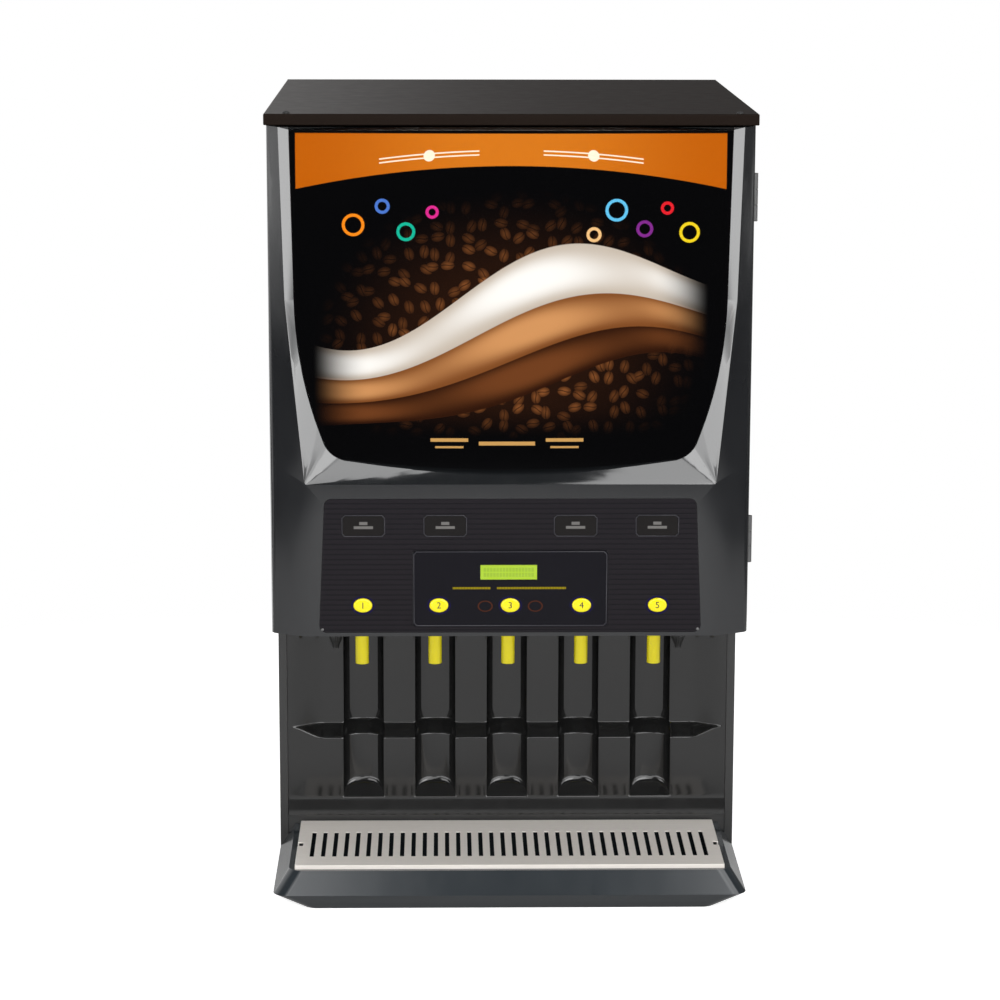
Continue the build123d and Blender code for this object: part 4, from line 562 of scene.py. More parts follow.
# %% Display
lcd = Finish("display_lime", {"Roughness": 0.12, "Emission Strength": 0.03})
x, y, z = lcd.axes()
CELL_W, CELL_H, LCD_X, LCD_Z = 3.45, 5.6, -1.7, 375.0
column = ((x - LCD_X) / CELL_W).math("FRACT").band(0.1, 0.9, 0.05)
row = ((z - LCD_Z) / CELL_H).math("FRACT").band(0.1, 0.9, 0.05) * abs(z - LCD_Z).rise(5.7, 5.5)
lime = lcd.mix(colour(168, 202, 26), colour(148, 184, 24), column * row * abs(x - LCD_X).rise(27.8, 27.5))
lcd.set({"Base Color": lime, "Emission Color": lime})
finishes.update(window_print=pane.material, control_film=film.material, display_plate=plate.material,
                display_lime=lcd.material)
print("control prints ready")

# %% [markdown]
# ## Circuit board
# The control board behind the overlay has green lacquer over its tracks. The tracks are stripes that a slow
# noise breaks up, and they stand out a little from the board.

# %% Circuit board inside the door
board = Finish("circuit_board", {"Roughness": 0.4})
x, y, z = board.axes()
tracks = (x / 4).math("FRACT").band(0.4, 0.6, 0.05) * board.noise(30).rise(0.45, 0.55)
board.set({"Base Color": board.mix(colour(24, 92, 48), colour(60, 130, 74), tracks)})
board.bump(tracks, 0.03)
finishes["circuit_board"] = board.material
print("finishes in all", len(finishes))

# %% [markdown]
# ## Edges that catch the light
# No real edge is sharp: sheet metal is bent, and plastic leaves its mould with small radii. The imported
# nodes have sharp edges, so most of the visible ones get a copy. Its points are merged and its flat
# triangles joined, so that only true edges are left. Faces with more than four corners are cut into
# triangles again, which keeps them clean when the Bevel modifier rounds the edges round them. The copy then
# stands in for the node.

# %% Tools for pieces
SHARP = math.radians(28)


def plain_mesh(holder, name):
    """The evaluated shape as a plain mesh on its own object at the origin."""
    bpy.context.view_layer.update()
    mesh = bpy.data.meshes.new_from_object(holder.evaluated_get(bpy.context.evaluated_depsgraph_get()))
    bpy.data.objects.remove(holder)
    mesh.name = name
    piece = bpy.data.objects.new(name, mesh)
    scene.collection.objects.link(piece)
    return piece


def stand(shape, name):
    """An object with a drawn shape as its smooth mesh."""
    mesh = bpy.data.meshes.new(name)
    shape.to_mesh(mesh)
    shape.free()
    mesh.shade_smooth()
    holder = bpy.data.objects.new(name, mesh)
    scene.collection.objects.link(holder)
    return holder


def dress(piece, body, finish=None):
    """Finish and body of a piece."""
    if finish:
        piece.data.materials.clear()
        piece.data.materials.append(finishes[finish])
    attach(piece, body)
    return piece


record = frame["record"]
body_of = {node: body for body, members in record["behaviour"]["bodies"].items() for node in members}
print("nodes on bodies", len(body_of))

# %% Rounded copies
FLAT = math.radians(0.6)
MERGE = 2e-6
EDGE_STEPS = 3


def softened(node, width_mm, finish):
    """A copy of a node with rounded edges, in its place."""
    mesh = nodes[node].data.copy()
    shape = bmesh.new()
    shape.from_mesh(mesh)
    bmesh.ops.remove_doubles(shape, verts=shape.verts, dist=MERGE)
    bmesh.ops.dissolve_limit(shape, angle_limit=FLAT, verts=shape.verts, edges=shape.edges)
    bmesh.ops.triangulate(shape, faces=[face for face in shape.faces if len(face.verts) > 4])
    shape.to_mesh(mesh)
    shape.free()
    mesh.shade_smooth()
    holder = bpy.data.objects.new(node + "_holder", mesh)
    scene.collection.objects.link(holder)
    edge = holder.modifiers.new("edge", "BEVEL")
    edge.width, edge.segments = width_mm * MM, EDGE_STEPS
    edge.limit_method, edge.angle_limit = "ANGLE", SHARP
    edge.miter_outer = "MITER_ARC"
    edge.use_clamp_overlap = True
    holder.modifiers.new("shading", "WEIGHTED_NORMAL")
    piece = plain_mesh(holder, node + "_rounded")
    dress(piece, body_of[node], finish)
    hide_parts(node)
    print(node, len(piece.data.polygons), "faces")


ROUNDED = {  # node: (edge radius in millimetres, finish)
    "top_cover": (1.2, "cover_paint"),
    "left_side_panel": (0.7, "cabinet_paint"),
    "right_side_panel": (0.7, "cabinet_paint"),
    "drip_tray": (1.5, "tray_gloss"),
    "door_shell": (1.2, "door_gloss"),
    "window_lens": (1.2, "window_print"),
    "display_module": (0.25, "display_plate"),
    "nozzle_tips": (0.9, "yellow_gloss"),
    "hopper_lids": (1.0, "white_moulding"),
    "rubber_feet": (1.5, "foot_rubber"),
    "cabinet_hinges": (0.4, "hinge_steel"),
    "door_hinges": (0.4, "hinge_steel"),
    "door_catch": (0.8, "black_moulding"),
}
for node, (width, finish) in ROUNDED.items():
    softened(node, width, finish)

# %% [markdown]
# ## Polished bevel
# The faces that slope from the door's front to the window are polished more than the rest. They belong to
# the same moulding, so they aren't a piece of their own: the faces that lean towards the window get a
# second finish.

# %% Polished bevel round the window
shell = bpy.data.objects["door_shell_rounded"]
shell.data.materials.append(finishes["bevel_gloss"])
glass_low, glass_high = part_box("window_lens")
front_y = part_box("door_shell")[0].y
REACH, SLOPED, BEVEL_DEEP = 0.03, 0.15, 0.0115
polished = 0
for face in shell.data.polygons:
    place, normal = face.center, face.normal
    in_front = place.y < front_y + BEVEL_DEEP and glass_low.z - REACH < place.z
    inward = -normal.x * math.copysign(1, place.x) > SLOPED
    rising = normal.z > SLOPED and place.z < glass_low.z + REACH
    hanging = normal.z < -SLOPED and place.z > glass_high.z - REACH
    if in_front and normal.y < 0 and (inward or rising or hanging):
        face.material_index = 1
        polished += 1
print("polished faces", polished)

# %% [markdown]
# ## Splash panel
# The panel behind the cups is one thin vacuum-formed sheet: every groove runs into its flat with a soft
# curve, the upper wall steps back over a rounded shoulder, and each groove ends on a sloped floor. Such a
# sheet is a height field, so one formula for its depth at each X and Z draws all of it, and Solidify gives
# it its wall.

# %% Curves of a formed sheet


def smooth(value, low, high):
    """0 up to low, 1 from high, smooth between."""
    share = min(1.0, max(0.0, (value - low) / (high - low)))
    return share * share * (3 - 2 * share)


def rounded(value, bend):
    """The value where it is above 0, else 0, with a rounded change between the two."""
    return max(value, 0.0) if abs(value) > bend else (value + bend) ** 2 / (4 * bend)


def climb(value, low, high, bend):
    """How far a value has come from low towards high, rounded at both ends."""
    return rounded(value - low, bend) - rounded(value - high, bend)


def lesser(one, two, bend):
    """The smaller of two values, with a rounded change from one to the other."""
    if abs(one - two) >= bend:
        return min(one, two)
    return min(one, two) - (bend - abs(one - two)) ** 2 / (4 * bend)


def spaced(low, high, step):
    """Values from low up to, but without, high, about a step apart."""
    count = max(1, round((high - low) / step))
    return [low + (high - low) * k / count for k in range(count)]


print("a rounded change at its middle", rounded(0, 1))

# %% Depth of the splash panel
STATIONS_MM = (-164, -82, 0, 82, 164)
GROOVE_HALF_MM, GROOVE_DEEP_MM, GROOVE_POWER, MOUTH_BEND_MM = 23.0, 20.0, 2.6, 2.5
FLOOR_LOW_MM, FLOOR_RISE_MM, FLOOR_BEND_MM = 78.0, 15.0, 7.0
SHOULDER_LOW_MM, SHOULDER_HIGH_MM, SHOULDER_STEP_MM, SHOULDER_BEND_MM = 148.0, 161.0, 18.0, 0.9
APRON_FORWARD_MM, APRON_BEND_MM = 3.0, 3.0
EDGE_STRIP_MM, EDGE_SWEEP_MM = 2.0, 40.0
splash_low, splash_high = (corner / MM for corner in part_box("splash_panel"))
SPLASH_BOTTOM_MM = splash_low.z


def groove_depth(x):
    """Depth of the nearest groove: a hollow a little squarer than a half round, with rounded mouths."""
    gap = min(abs(x - station) for station in STATIONS_MM)
    if gap >= GROOVE_HALF_MM:
        return rounded(GROOVE_HALF_MM - gap, MOUTH_BEND_MM)
    share = (1 - (gap / GROOVE_HALF_MM) ** GROOVE_POWER) ** (1 / GROOVE_POWER)
    return rounded(GROOVE_DEEP_MM * share, MOUTH_BEND_MM)


def splash_depth(x, z, half):
    """How far the sheet lies behind its front, all in millimetres."""
    hollow = groove_depth(x)
    floor_depth = max(0.0, z - FLOOR_LOW_MM) / FLOOR_RISE_MM * GROOVE_DEEP_MM
    groove = lesser(hollow, floor_depth, FLOOR_BEND_MM * hollow / GROOVE_DEEP_MM)
    inside = smooth(half - abs(x), EDGE_STRIP_MM, EDGE_STRIP_MM + EDGE_SWEEP_MM)
    shoulder_high = SHOULDER_HIGH_MM - SHOULDER_LOW_MM
    step_low = SHOULDER_HIGH_MM - shoulder_high * inside
    step = climb(z, step_low, SHOULDER_HIGH_MM, SHOULDER_BEND_MM) / shoulder_high
    apron_high = FLOOR_LOW_MM - SPLASH_BOTTOM_MM
    apron = 1 - climb(z, SPLASH_BOTTOM_MM, FLOOR_LOW_MM, APRON_BEND_MM) / apron_high
    return groove + SHOULDER_STEP_MM * step - APRON_FORWARD_MM * apron


print("a groove is", round(groove_depth(0), 2), "mm deep")

# %% Splash panel as a height field
SPLASH_WALL_MM = 2.5
SPLASH_SHARP = math.radians(50)
APRON_ROWS_MM, FLOOR_ROWS_MM, GROOVE_ROWS_MM, SHOULDER_ROWS_MM, TOP_ROWS_MM = 4, 0.9, 8, 0.8, 12
END_COLUMNS_MM, FLAT_COLUMNS_MM, MOUTH_COLUMNS_MM = 1.6, 4, 0.5
WALL_COLUMNS = 12


def splash_columns(half):
    """Places in X, close together where a groove's wall is steep and where the ends sweep."""
    mouth = GROOVE_HALF_MM + MOUTH_BEND_MM
    turns = [math.pi / 2 * k / WALL_COLUMNS for k in range(-WALL_COLUMNS, WALL_COLUMNS + 1)]
    walls = [GROOVE_HALF_MM * math.sin(turn) for turn in turns]
    columns = spaced(-half, STATIONS_MM[0] - mouth, END_COLUMNS_MM)
    for station in STATIONS_MM:
        columns += spaced(station - mouth, station - GROOVE_HALF_MM, MOUTH_COLUMNS_MM)
        columns += [station + place for place in walls]
        columns += spaced(station + GROOVE_HALF_MM, station + mouth, MOUTH_COLUMNS_MM)[1:]
        following = min((other for other in STATIONS_MM if other > station), default=half + mouth)
        gap_step = END_COLUMNS_MM if following > half else FLAT_COLUMNS_MM
        columns += spaced(station + mouth, following - mouth, gap_step)
    return columns + [half]


def splash_sheet():
    """The sheet with its flange at the top."""
    half, top = splash_high.x, splash_high.z
    columns = splash_columns(half)
    floor_start, floor_top = FLOOR_LOW_MM - APRON_BEND_MM, FLOOR_LOW_MM + 2 * FLOOR_RISE_MM
    near = 2 * SHOULDER_BEND_MM
    step_start, step_top = SHOULDER_LOW_MM - near, SHOULDER_HIGH_MM + near
    rows = spaced(SPLASH_BOTTOM_MM, floor_start, APRON_ROWS_MM)
    rows += spaced(floor_start, floor_top, FLOOR_ROWS_MM)
    rows += spaced(floor_top, step_start, GROOVE_ROWS_MM) + spaced(step_start, step_top, SHOULDER_ROWS_MM)
    rows += spaced(step_top, top, TOP_ROWS_MM) + [top]
    shape = bmesh.new()
    lines = []
    for z in rows:
        depths = [splash_low.y + splash_depth(x, z, half) for x in columns]
        lines.append([shape.verts.new((x * MM, y * MM, z * MM)) for x, y in zip(columns, depths)])
    lines.append([shape.verts.new((x * MM, splash_high.y * MM, top * MM)) for x in columns])
    for lower, upper in zip(lines, lines[1:]):
        for k in range(len(columns) - 1):
            shape.faces.new((lower[k], lower[k + 1], upper[k + 1], upper[k]))
    holder = stand(shape, "splash_sheet_holder")
    wall = holder.modifiers.new("wall", "SOLIDIFY")
    wall.thickness, wall.offset = SPLASH_WALL_MM * MM, -1.0
    return plain_mesh(holder, "splash_sheet")


sheet = dress(splash_sheet(), body_of["splash_panel"], "splash_gloss")
sheet.data.set_sharp_from_angle(angle=SPLASH_SHARP)
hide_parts("splash_panel")
print("splash panel", len(sheet.data.polygons), "faces", [round(c, 4) for c in sheet.bound_box[0]])

# %% [markdown]
# ## Drip grille
# The grille is one stainless sheet with punched slots, a notch at each end and a rim that is folded down. A
# grid whose lines lie on the edges of the slots draws it, with the open cells left out. Solidify gives the
# sheet its thickness, and a fine bevel takes the burr off its edges.

# %% Slotted grille
GRILLE_SHEET_MM, GRILLE_EDGE_MM, GRILLE_EDGE_STEPS = 1.2, 0.4, 2
SLOTS, SLOT_PITCH_MM, SLOT_WIDE_MM, SLOT_LONG_MM, SLOT_FROM_FRONT_MM = 36, 12.5, 4.7, 90.0, 32.0
NOTCH_DEEP_MM, NOTCH_LONG_MM = 6.0, 12.0


def slotted_grille():
    """A folded sheet drawn as a grid with open cells for the slots and the notches."""
    low, high = (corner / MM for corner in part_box("drip_grille"))
    middle = low.y + SLOT_FROM_FRONT_MM + SLOT_LONG_MM / 2
    centres = [(k - (SLOTS - 1) / 2) * SLOT_PITCH_MM for k in range(SLOTS)]
    columns = [low.x, low.x + NOTCH_DEEP_MM]
    columns += [c + side * SLOT_WIDE_MM / 2 for c in centres for side in (-1, 1)]
    columns += [high.x - NOTCH_DEEP_MM, high.x]
    rows = [low.y, middle - SLOT_LONG_MM / 2, middle - NOTCH_LONG_MM / 2, middle + NOTCH_LONG_MM / 2,
            middle + SLOT_LONG_MM / 2, high.y]
    last_column, last_row, middle_row = len(columns) - 2, len(rows) - 2, 2

    def is_open(i, j):
        slot = 2 <= i < last_column - 1 and i % 2 == 0 and 0 < j < last_row
        return slot or (j == middle_row and i in (0, last_column))

    shape = bmesh.new()
    points = {}

    def point(i, j, z):
        if (i, j, z) not in points:
            points[i, j, z] = shape.verts.new((columns[i] * MM, rows[j] * MM, z * MM))
        return points[i, j, z]

    for i in range(len(columns) - 1):
        for j in range(len(rows) - 1):
            if not is_open(i, j):
                ring = [(i, j), (i + 1, j), (i + 1, j + 1), (i, j + 1)]
                shape.faces.new([point(a, b, high.z) for a, b in ring])
    front = [(i, 0) for i in range(len(columns))]
    back = [(i, len(rows) - 1) for i in reversed(range(len(columns)))]
    right = [(len(columns) - 1, j) for j in range(len(rows))]
    left = [(0, j) for j in reversed(range(len(rows)))]
    for rim in (front, right, back, left):
        for one, two in zip(rim, rim[1:]):
            notch = rim in (left, right) and {one[1], two[1]} == {middle_row, middle_row + 1}
            if not notch:
                ring = [(*two, high.z), (*one, high.z), (*one, low.z), (*two, low.z)]
                shape.faces.new([point(*corner) for corner in ring])
    holder = stand(shape, "grille_holder")
    sheet = holder.modifiers.new("sheet", "SOLIDIFY")
    sheet.thickness, sheet.offset, sheet.use_even_offset = GRILLE_SHEET_MM * MM, -1.0, True
    edge = holder.modifiers.new("edge", "BEVEL")
    edge.width, edge.segments = GRILLE_EDGE_MM * MM, GRILLE_EDGE_STEPS
    edge.limit_method, edge.angle_limit = "ANGLE", SHARP
    holder.modifiers.new("shading", "WEIGHTED_NORMAL")
    return plain_mesh(holder, "slotted_grille")


grille = dress(slotted_grille(), body_of["drip_grille"], "grille_steel")
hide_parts("drip_grille")
print("grille", len(grille.data.polygons), "faces")

# %% [markdown]
# ## Nodes that stay
# Most of these are works that are seen only with the door open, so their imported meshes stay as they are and
# only get a finish. The rear cover stays too, because hoods hide the edges of its slots, and so do the flat
# overlay and the display.

# %% Finishes of the nodes that stay
STATIONS = range(1, 6)
KEPT = {
    "rear_cover": "cabinet_paint",
    "base_pan": "cabinet_paint",
    "bulkhead": "inner_steel",
    "hopper_shelf": "inner_steel",
    "hot_water_tank": "inner_steel",
    "heating_element": "plain_steel",
    "hot_water_tubes": "soft_tube",
    "water_valves": "coil_black",
    "mixer_motors": "motor_paint",
    "auger_motors": "motor_paint",
    "water_inlet": "brass",
    "cord_gland": "black_moulding",
    "mixing_bowls": "smoke_moulding",
    "light_box": "lamp_white",
    "lamp_tubes": "lamp_white",
    "control_panel": "control_film",
    "lcd_window": "display_lime",
    "control_board": "circuit_board",
    "door_liner": "inner_steel",
}
for i in STATIONS:
    KEPT.update({f"hopper_{i}": "natural_bin", f"auger_{i}": "white_moulding"})
    KEPT.update({f"elbow_{i}": "smoke_moulding", f"whipper_{i}": "white_moulding"})
for node, finish in KEPT.items():
    nodes[node].data.materials.clear()
    nodes[node].data.materials.append(finishes[finish])
print("nodes with a finish", len(KEPT))

# %% [markdown]
# ## Push buttons
# Each button is a shallow dome on an oval. A plain numeral on its crown says which nozzle it opens. Rings
# of points that shrink from the rim to the crown draw the dome, because its outline isn't a circle that
# could be turned.

# %% Button caps
moulded("dark_ink", colour(38, 34, 30), 0.4, 0.05, 0.4, 0.005)
CAP_STEPS = [  # share of the radius, share of the height
    (1.0, 0.0), (1.0, 0.72), (0.985, 0.8), (0.955, 0.87),
    (0.9, 0.925), (0.8, 0.965), (0.62, 0.99), (0.35, 1.0),
]
CAP_SIDES = 64
CAP_SHARP = math.radians(40)


def oval_cap(bottom, top, middle, half_wide, half_high, name):
    """A dome on an oval that faces forward."""
    shape = bmesh.new()
    rings = []
    for radius, height in CAP_STEPS:
        ring = []
        for k in range(CAP_SIDES):
            angle = 2 * math.pi * k / CAP_SIDES
            place = (middle.x + radius * half_wide * math.cos(angle), bottom + (top - bottom) * height,
                     middle.z + radius * half_high * math.sin(angle))
            ring.append(shape.verts.new(place))
        rings.append(ring)
    for inner, outer in zip(rings, rings[1:]):
        for k in range(CAP_SIDES):
            n = (k + 1) % CAP_SIDES
            shape.faces.new((inner[k], inner[n], outer[n], outer[k]))
    shape.faces.new(rings[0])
    shape.faces.new(rings[-1])
    bmesh.ops.recalc_face_normals(shape, faces=shape.faces)
    piece = stand(shape, name)
    piece.data.set_sharp_from_angle(angle=CAP_SHARP)
    return piece


panel_front, panel_back = (corner.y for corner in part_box("control_panel"))
for i in STATIONS:
    low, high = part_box(f"dispense_button_{i}")
    half_wide, half_high = (high.x - low.x) / 2, (high.z - low.z) / 2
    cap = oval_cap(panel_back, low.y, (low + high) / 2, half_wide, half_high, f"button_cap_{i}")
    dress(cap, f"button_{i}", "yellow_gloss")
    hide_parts(f"dispense_button_{i}")
print("buttons", len(STATIONS))

# %% Numerals on the buttons
NUMERAL_MM, NUMERAL_DEEP_MM = 10.0, 0.12
upright = Matrix.Rotation(math.pi / 2, 4, "X")
for i in STATIONS:
    low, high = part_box(f"dispense_button_{i}")
    words = bpy.data.curves.new(f"numeral_{i}", "FONT")
    words.body, words.size, words.extrude = str(i), NUMERAL_MM * MM, NUMERAL_DEEP_MM * MM
    words.align_x, words.align_y = "CENTER", "CENTER"
    holder = bpy.data.objects.new(f"numeral_holder_{i}", words)
    scene.collection.objects.link(holder)
    numeral = plain_mesh(holder, f"numeral_{i}")
    middle = (low + high) / 2
    numeral.data.transform(Matrix.Translation((middle.x, low.y, middle.z)) @ upright)
    dress(numeral, f"button_{i}", "dark_ink")
print("numerals", len(STATIONS))

# %% [markdown]
# ## Things that repeat: geometry nodes
# Screws, hand screws, label frames, bumpers, studs and louvres are each one shape at many places. A
# geometry node tree makes the shape from named sizes and puts it on points, which carry the way that each
# one faces and how far it is turned.

# %% Tools for geometry nodes


class Pattern(Graph):
    """A geometry node tree with named sizes in metres."""

    def __init__(self, name, sizes):
        super().__init__(bpy.data.node_groups.new(name, "GeometryNodeTree"))
        self.sizes = sizes
        face = self.tree.interface
        face.new_socket("Geometry", in_out="INPUT", socket_type="NodeSocketGeometry")
        for size in sizes:
            face.new_socket(size, in_out="INPUT", socket_type="NodeSocketFloat")
        face.new_socket("Geometry", in_out="OUTPUT", socket_type="NodeSocketGeometry")
        self.source = self.tree.nodes.new("NodeGroupInput")

    def size(self, name):
        return Wire(self, self.source.outputs[name])

    def vector(self, x=0.0, y=0.0, z=0.0):
        return self.node("ShaderNodeCombineXYZ", None, {0: x, 1: y, 2: z})

    def lift(self, geometry, z):
        sockets = {"Geometry": geometry, "Translation": self.vector(z=z)}
        return self.node("GeometryNodeTransform", None, sockets)

    def cone(self, sides, top, bottom, depth, steps=1):
        sockets = {"Vertices": sides, "Side Segments": steps, "Radius Top": top, "Radius Bottom": bottom}
        return self.node("GeometryNodeMeshCone", None, {**sockets, "Depth": depth}, "Mesh")

    def cylinder(self, sides, radius, depth):
        sockets = {"Vertices": sides, "Radius": radius, "Depth": depth}
        return self.node("GeometryNodeMeshCylinder", None, sockets, "Mesh")

    def carried(self, name, kind):
        """A value that each point carries."""
        return self.node("GeometryNodeInputNamedAttribute", {"data_type": kind}, {"Name": name})

    def join(self, *parts):
        node = self.tree.nodes.new("GeometryNodeJoinGeometry")
        for part in parts:
            self.tree.links.new(part.socket, node.inputs[0])
        return Wire(self, node.outputs[0])

    def end_on_points(self, shape, finish):
        """Puts the shape on the points, turned as they say, and ends the tree."""
        facing, angle = self.carried("facing", "FLOAT_VECTOR"), self.carried("turn", "FLOAT")
        aim = self.node("FunctionNodeAlignRotationToVector", {"axis": "Z"}, {"Vector": facing})
        spin = self.node("FunctionNodeAxisAngleToRotation", None, {"Axis": (0, 0, 1), "Angle": angle})
        turned = {"Rotation": aim, "Rotate By": spin}
        both = self.node("FunctionNodeRotateRotation", {"rotation_space": "LOCAL"}, turned)
        points = Wire(self, self.source.outputs["Geometry"])
        sockets = {"Points": points, "Instance": shape, "Rotation": both}
        placed = self.node("GeometryNodeInstanceOnPoints", None, sockets)
        real = self.node("GeometryNodeRealizeInstances", None, {"Geometry": placed})
        done = self.node("GeometryNodeSetMaterial", None, {"Geometry": real, "Material": finishes[finish]})
        self.tree.links.new(done.socket, self.tree.nodes.new("NodeGroupOutput").inputs[0])
        return self

    def make(self, name, places, body, slot):
        """Runs the tree on points, each (place in metres, facing, turn), and dresses the plain mesh."""
        spots, facings, turns = zip(*places)
        mesh = bpy.data.meshes.new(name)
        mesh.from_pydata(list(spots), [], [])
        directions = mesh.attributes.new("facing", "FLOAT_VECTOR", "POINT").data
        directions.foreach_set("vector", [part for facing in facings for part in facing])
        mesh.attributes.new("turn", "FLOAT", "POINT").data.foreach_set("value", list(turns))
        holder = bpy.data.objects.new(name + "_holder", mesh)
        scene.collection.objects.link(holder)
        tree = holder.modifiers.new("pattern", "NODES")
        tree.node_group = self.tree
        sockets = {s.name: s.identifier for s in self.tree.interface.items_tree if s.in_out == "INPUT"}
        for size, value in self.sizes.items():
            tree[sockets[size]] = value
        piece = plain_mesh(holder, name)
        print(name, len(places), "places", len(piece.data.polygons), "faces")
        return dress(piece, body)


print("geometry tools ready")

# %% [markdown]
# ## Screws
# Sheet screws with a hexagon on a round flange hold the rear cover, and flat round heads hold the lid. Each
# one is turned a little further than the one before, as a fitter leaves them.

# %% Hex-head sheet screws
BACK, LEFT, RIGHT, UP, FRONT = (0, 1, 0), (-1, 0, 0), (1, 0, 0), (0, 0, 1), (0, -1, 0)
TURN_STEP = 0.7
EDGE_IN, TOP_IN = 0.009, 0.02
REAR_SCREW_X, REAR_SCREW_Z = (-0.12, 0.12), (0.06, 0.25, 0.44, 0.63, 0.82)
HEX_SIDES, ROUND_SIDES = 6, 24
head_sizes = {"Head radius": 3.2 * MM, "Head height": 2.0 * MM}
flange_sizes = {"Flange radius": 4.6 * MM, "Flange height": 0.9 * MM}
screw = Pattern("hex_screw", {**head_sizes, **flange_sizes})
head_wide, head_high = screw.size("Head radius"), screw.size("Head height")
flange_wide, flange_high = screw.size("Flange radius"), screw.size("Flange height")
hexagon = screw.lift(screw.cylinder(HEX_SIDES, head_wide, head_high), flange_high + head_high * 0.5)
crown = screw.cone(HEX_SIDES, head_wide * 0.72, head_wide, head_high * 0.25)
crown = screw.lift(crown, flange_high + head_high)
flange = screw.cone(ROUND_SIDES, flange_wide * 0.84, flange_wide, flange_high)
screw.end_on_points(screw.join(hexagon, crown, flange), "plain_steel")
low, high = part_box("rear_cover")
rear_places = [(x, high.y, z) for x in (low.x + EDGE_IN, high.x - EDGE_IN) for z in REAR_SCREW_Z]
rear_places += [(x, high.y, z) for x in REAR_SCREW_X for z in (low.z + EDGE_IN, high.z - TOP_IN)]
rear_points = [(place, BACK, k * TURN_STEP) for k, place in enumerate(rear_places)]
screw.make("rear_screws", rear_points, "cabinet", "inner_steel")

# %% Lid screws
LID_SCREW_Y, LID_SCREW_HIGH, LID_SCREW_STEPS = (-0.12, 0.08, 0.26), 1.4 * MM, 3
low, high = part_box("top_cover")
lip_z = (low.z + high.z) / 2
lid_places = [((low.x, y, lip_z), LEFT) for y in LID_SCREW_Y]
lid_places += [((high.x, y, lip_z), RIGHT) for y in LID_SCREW_Y]
small = Pattern("lid_screw", {"Head radius": 2.6 * MM, "Flange radius": 4.0 * MM})
head_wide, flange_wide = small.size("Head radius"), small.size("Flange radius")
small_head = small.cone(ROUND_SIDES, head_wide, flange_wide, LID_SCREW_HIGH, LID_SCREW_STEPS)
small.end_on_points(small_head, "plain_steel")
lid_points = [(place, facing, k * TURN_STEP) for k, (place, facing) in enumerate(lid_places)]
small.make("lid_screws", lid_points, "cabinet", "inner_steel")

# %% [markdown]
# ## Hand screws
# Two fluted grips hang under the hood and hold the splash panel. A turned barrel would be smooth, so a
# cylinder's points are moved instead: in by a taper towards the tip, and in again along each flute.

# %% Hand screws under the hood
KNOB_FLUTES, KNOB_SIDES = 14, 112
KNOB_RADIUS, KNOB_HEIGHT, KNOB_TURN = 8.0 * MM, 20.0 * MM, 0.2
grip_sizes = {"Radius": KNOB_RADIUS, "Tip radius": 3.5 * MM, "Height": KNOB_HEIGHT}
knob = Pattern("hand_screw", {**grip_sizes, "Flute depth": 0.07, "Shank": 3.0 * MM})
wide, tip, tall = knob.size("Radius"), knob.size("Tip radius"), knob.size("Height")
barrel_grid = {"Vertices": KNOB_SIDES, "Side Segments": 10, "Fill Segments": 4}
barrel_sizes = {**barrel_grid, "Radius": wide, "Depth": tall}
barrel = knob.node("GeometryNodeMeshCylinder", {"fill_type": "TRIANGLE_FAN"}, barrel_sizes, "Mesh")
position = knob.node("GeometryNodeInputPosition")
place = knob.node("ShaderNodeSeparateXYZ", None, {0: position}).socket.node.outputs
px, py, pz = (Wire(knob, socket) for socket in place)
angle = py.math("ARCTAN2", px)
share = pz / tall + 0.5
taper = tip / wide + (1 - tip / wide) * share.rise(0.0, 0.75)
flute = (angle * KNOB_FLUTES).math("COSINE").rise(-0.2, 0.9) * share.rise(0.1, 0.4)
narrowed = taper * (1 - knob.size("Flute depth") * flute)
moved = {"Geometry": barrel, "Position": knob.vector(px * narrowed, py * narrowed, pz)}
shaped = knob.node("GeometryNodeSetPosition", None, moved)
low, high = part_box("thumb_screws")
shank_long = high.z - low.z - KNOB_HEIGHT
shank = knob.cylinder(ROUND_SIDES, knob.size("Shank"), shank_long)
grip = knob.join(knob.lift(shaped, tall * 0.5), knob.lift(shank, tall + shank_long / 2))
knob.end_on_points(grip, "black_moulding")
middle_y = (low.y + high.y) / 2
reach = (high.x - low.x) / 2 - KNOB_RADIUS
knob_points = [((side * reach, middle_y, low.z), UP, KNOB_TURN * side) for side in (-1, 1)]
knobs = knob.make("hand_screws", knob_points, "cabinet", "black_plastic")
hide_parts("thumb_screws")

# %% [markdown]
# ## Frames
# A thin raised line runs round each label window and round the display plate. It is a rounded rectangle of
# curve with a small circle swept along it.

# %% Frames round the label windows and the display plate
moulded("frame_line", colour(28, 27, 36), 0.35, 0.05, 0.4, 0.004)
LINE_SIDES = 8
FRAME_CORNER_MM, FRAME_IN_MM = 3.0, 1.0
LABEL_WIDE_MM, LABEL_HIGH_MM = 46.0, 23.0


def frame_pattern(name, width, height, line):
    """A rounded rectangle drawn with a round line; sizes in millimetres."""
    sizes = {"Width": width * MM, "Height": height * MM, "Corner": FRAME_CORNER_MM * MM, "Line": line * MM}
    pattern = Pattern(name, sizes)
    sides = {size: pattern.size(size) for size in ("Width", "Height")}
    outline = pattern.node("GeometryNodeCurvePrimitiveQuadrilateral", None, sides)
    bends = {"Curve": outline, "Radius": pattern.size("Corner")}
    outline = pattern.node("GeometryNodeFilletCurve", None, bends)
    circle = {"Resolution": LINE_SIDES, "Radius": pattern.size("Line")}
    profile = pattern.node("GeometryNodeCurvePrimitiveCircle", None, circle, "Curve")
    ring = pattern.node("GeometryNodeCurveToMesh", None, {"Curve": outline, "Profile Curve": profile})
    return pattern.end_on_points(ring, "frame_line")


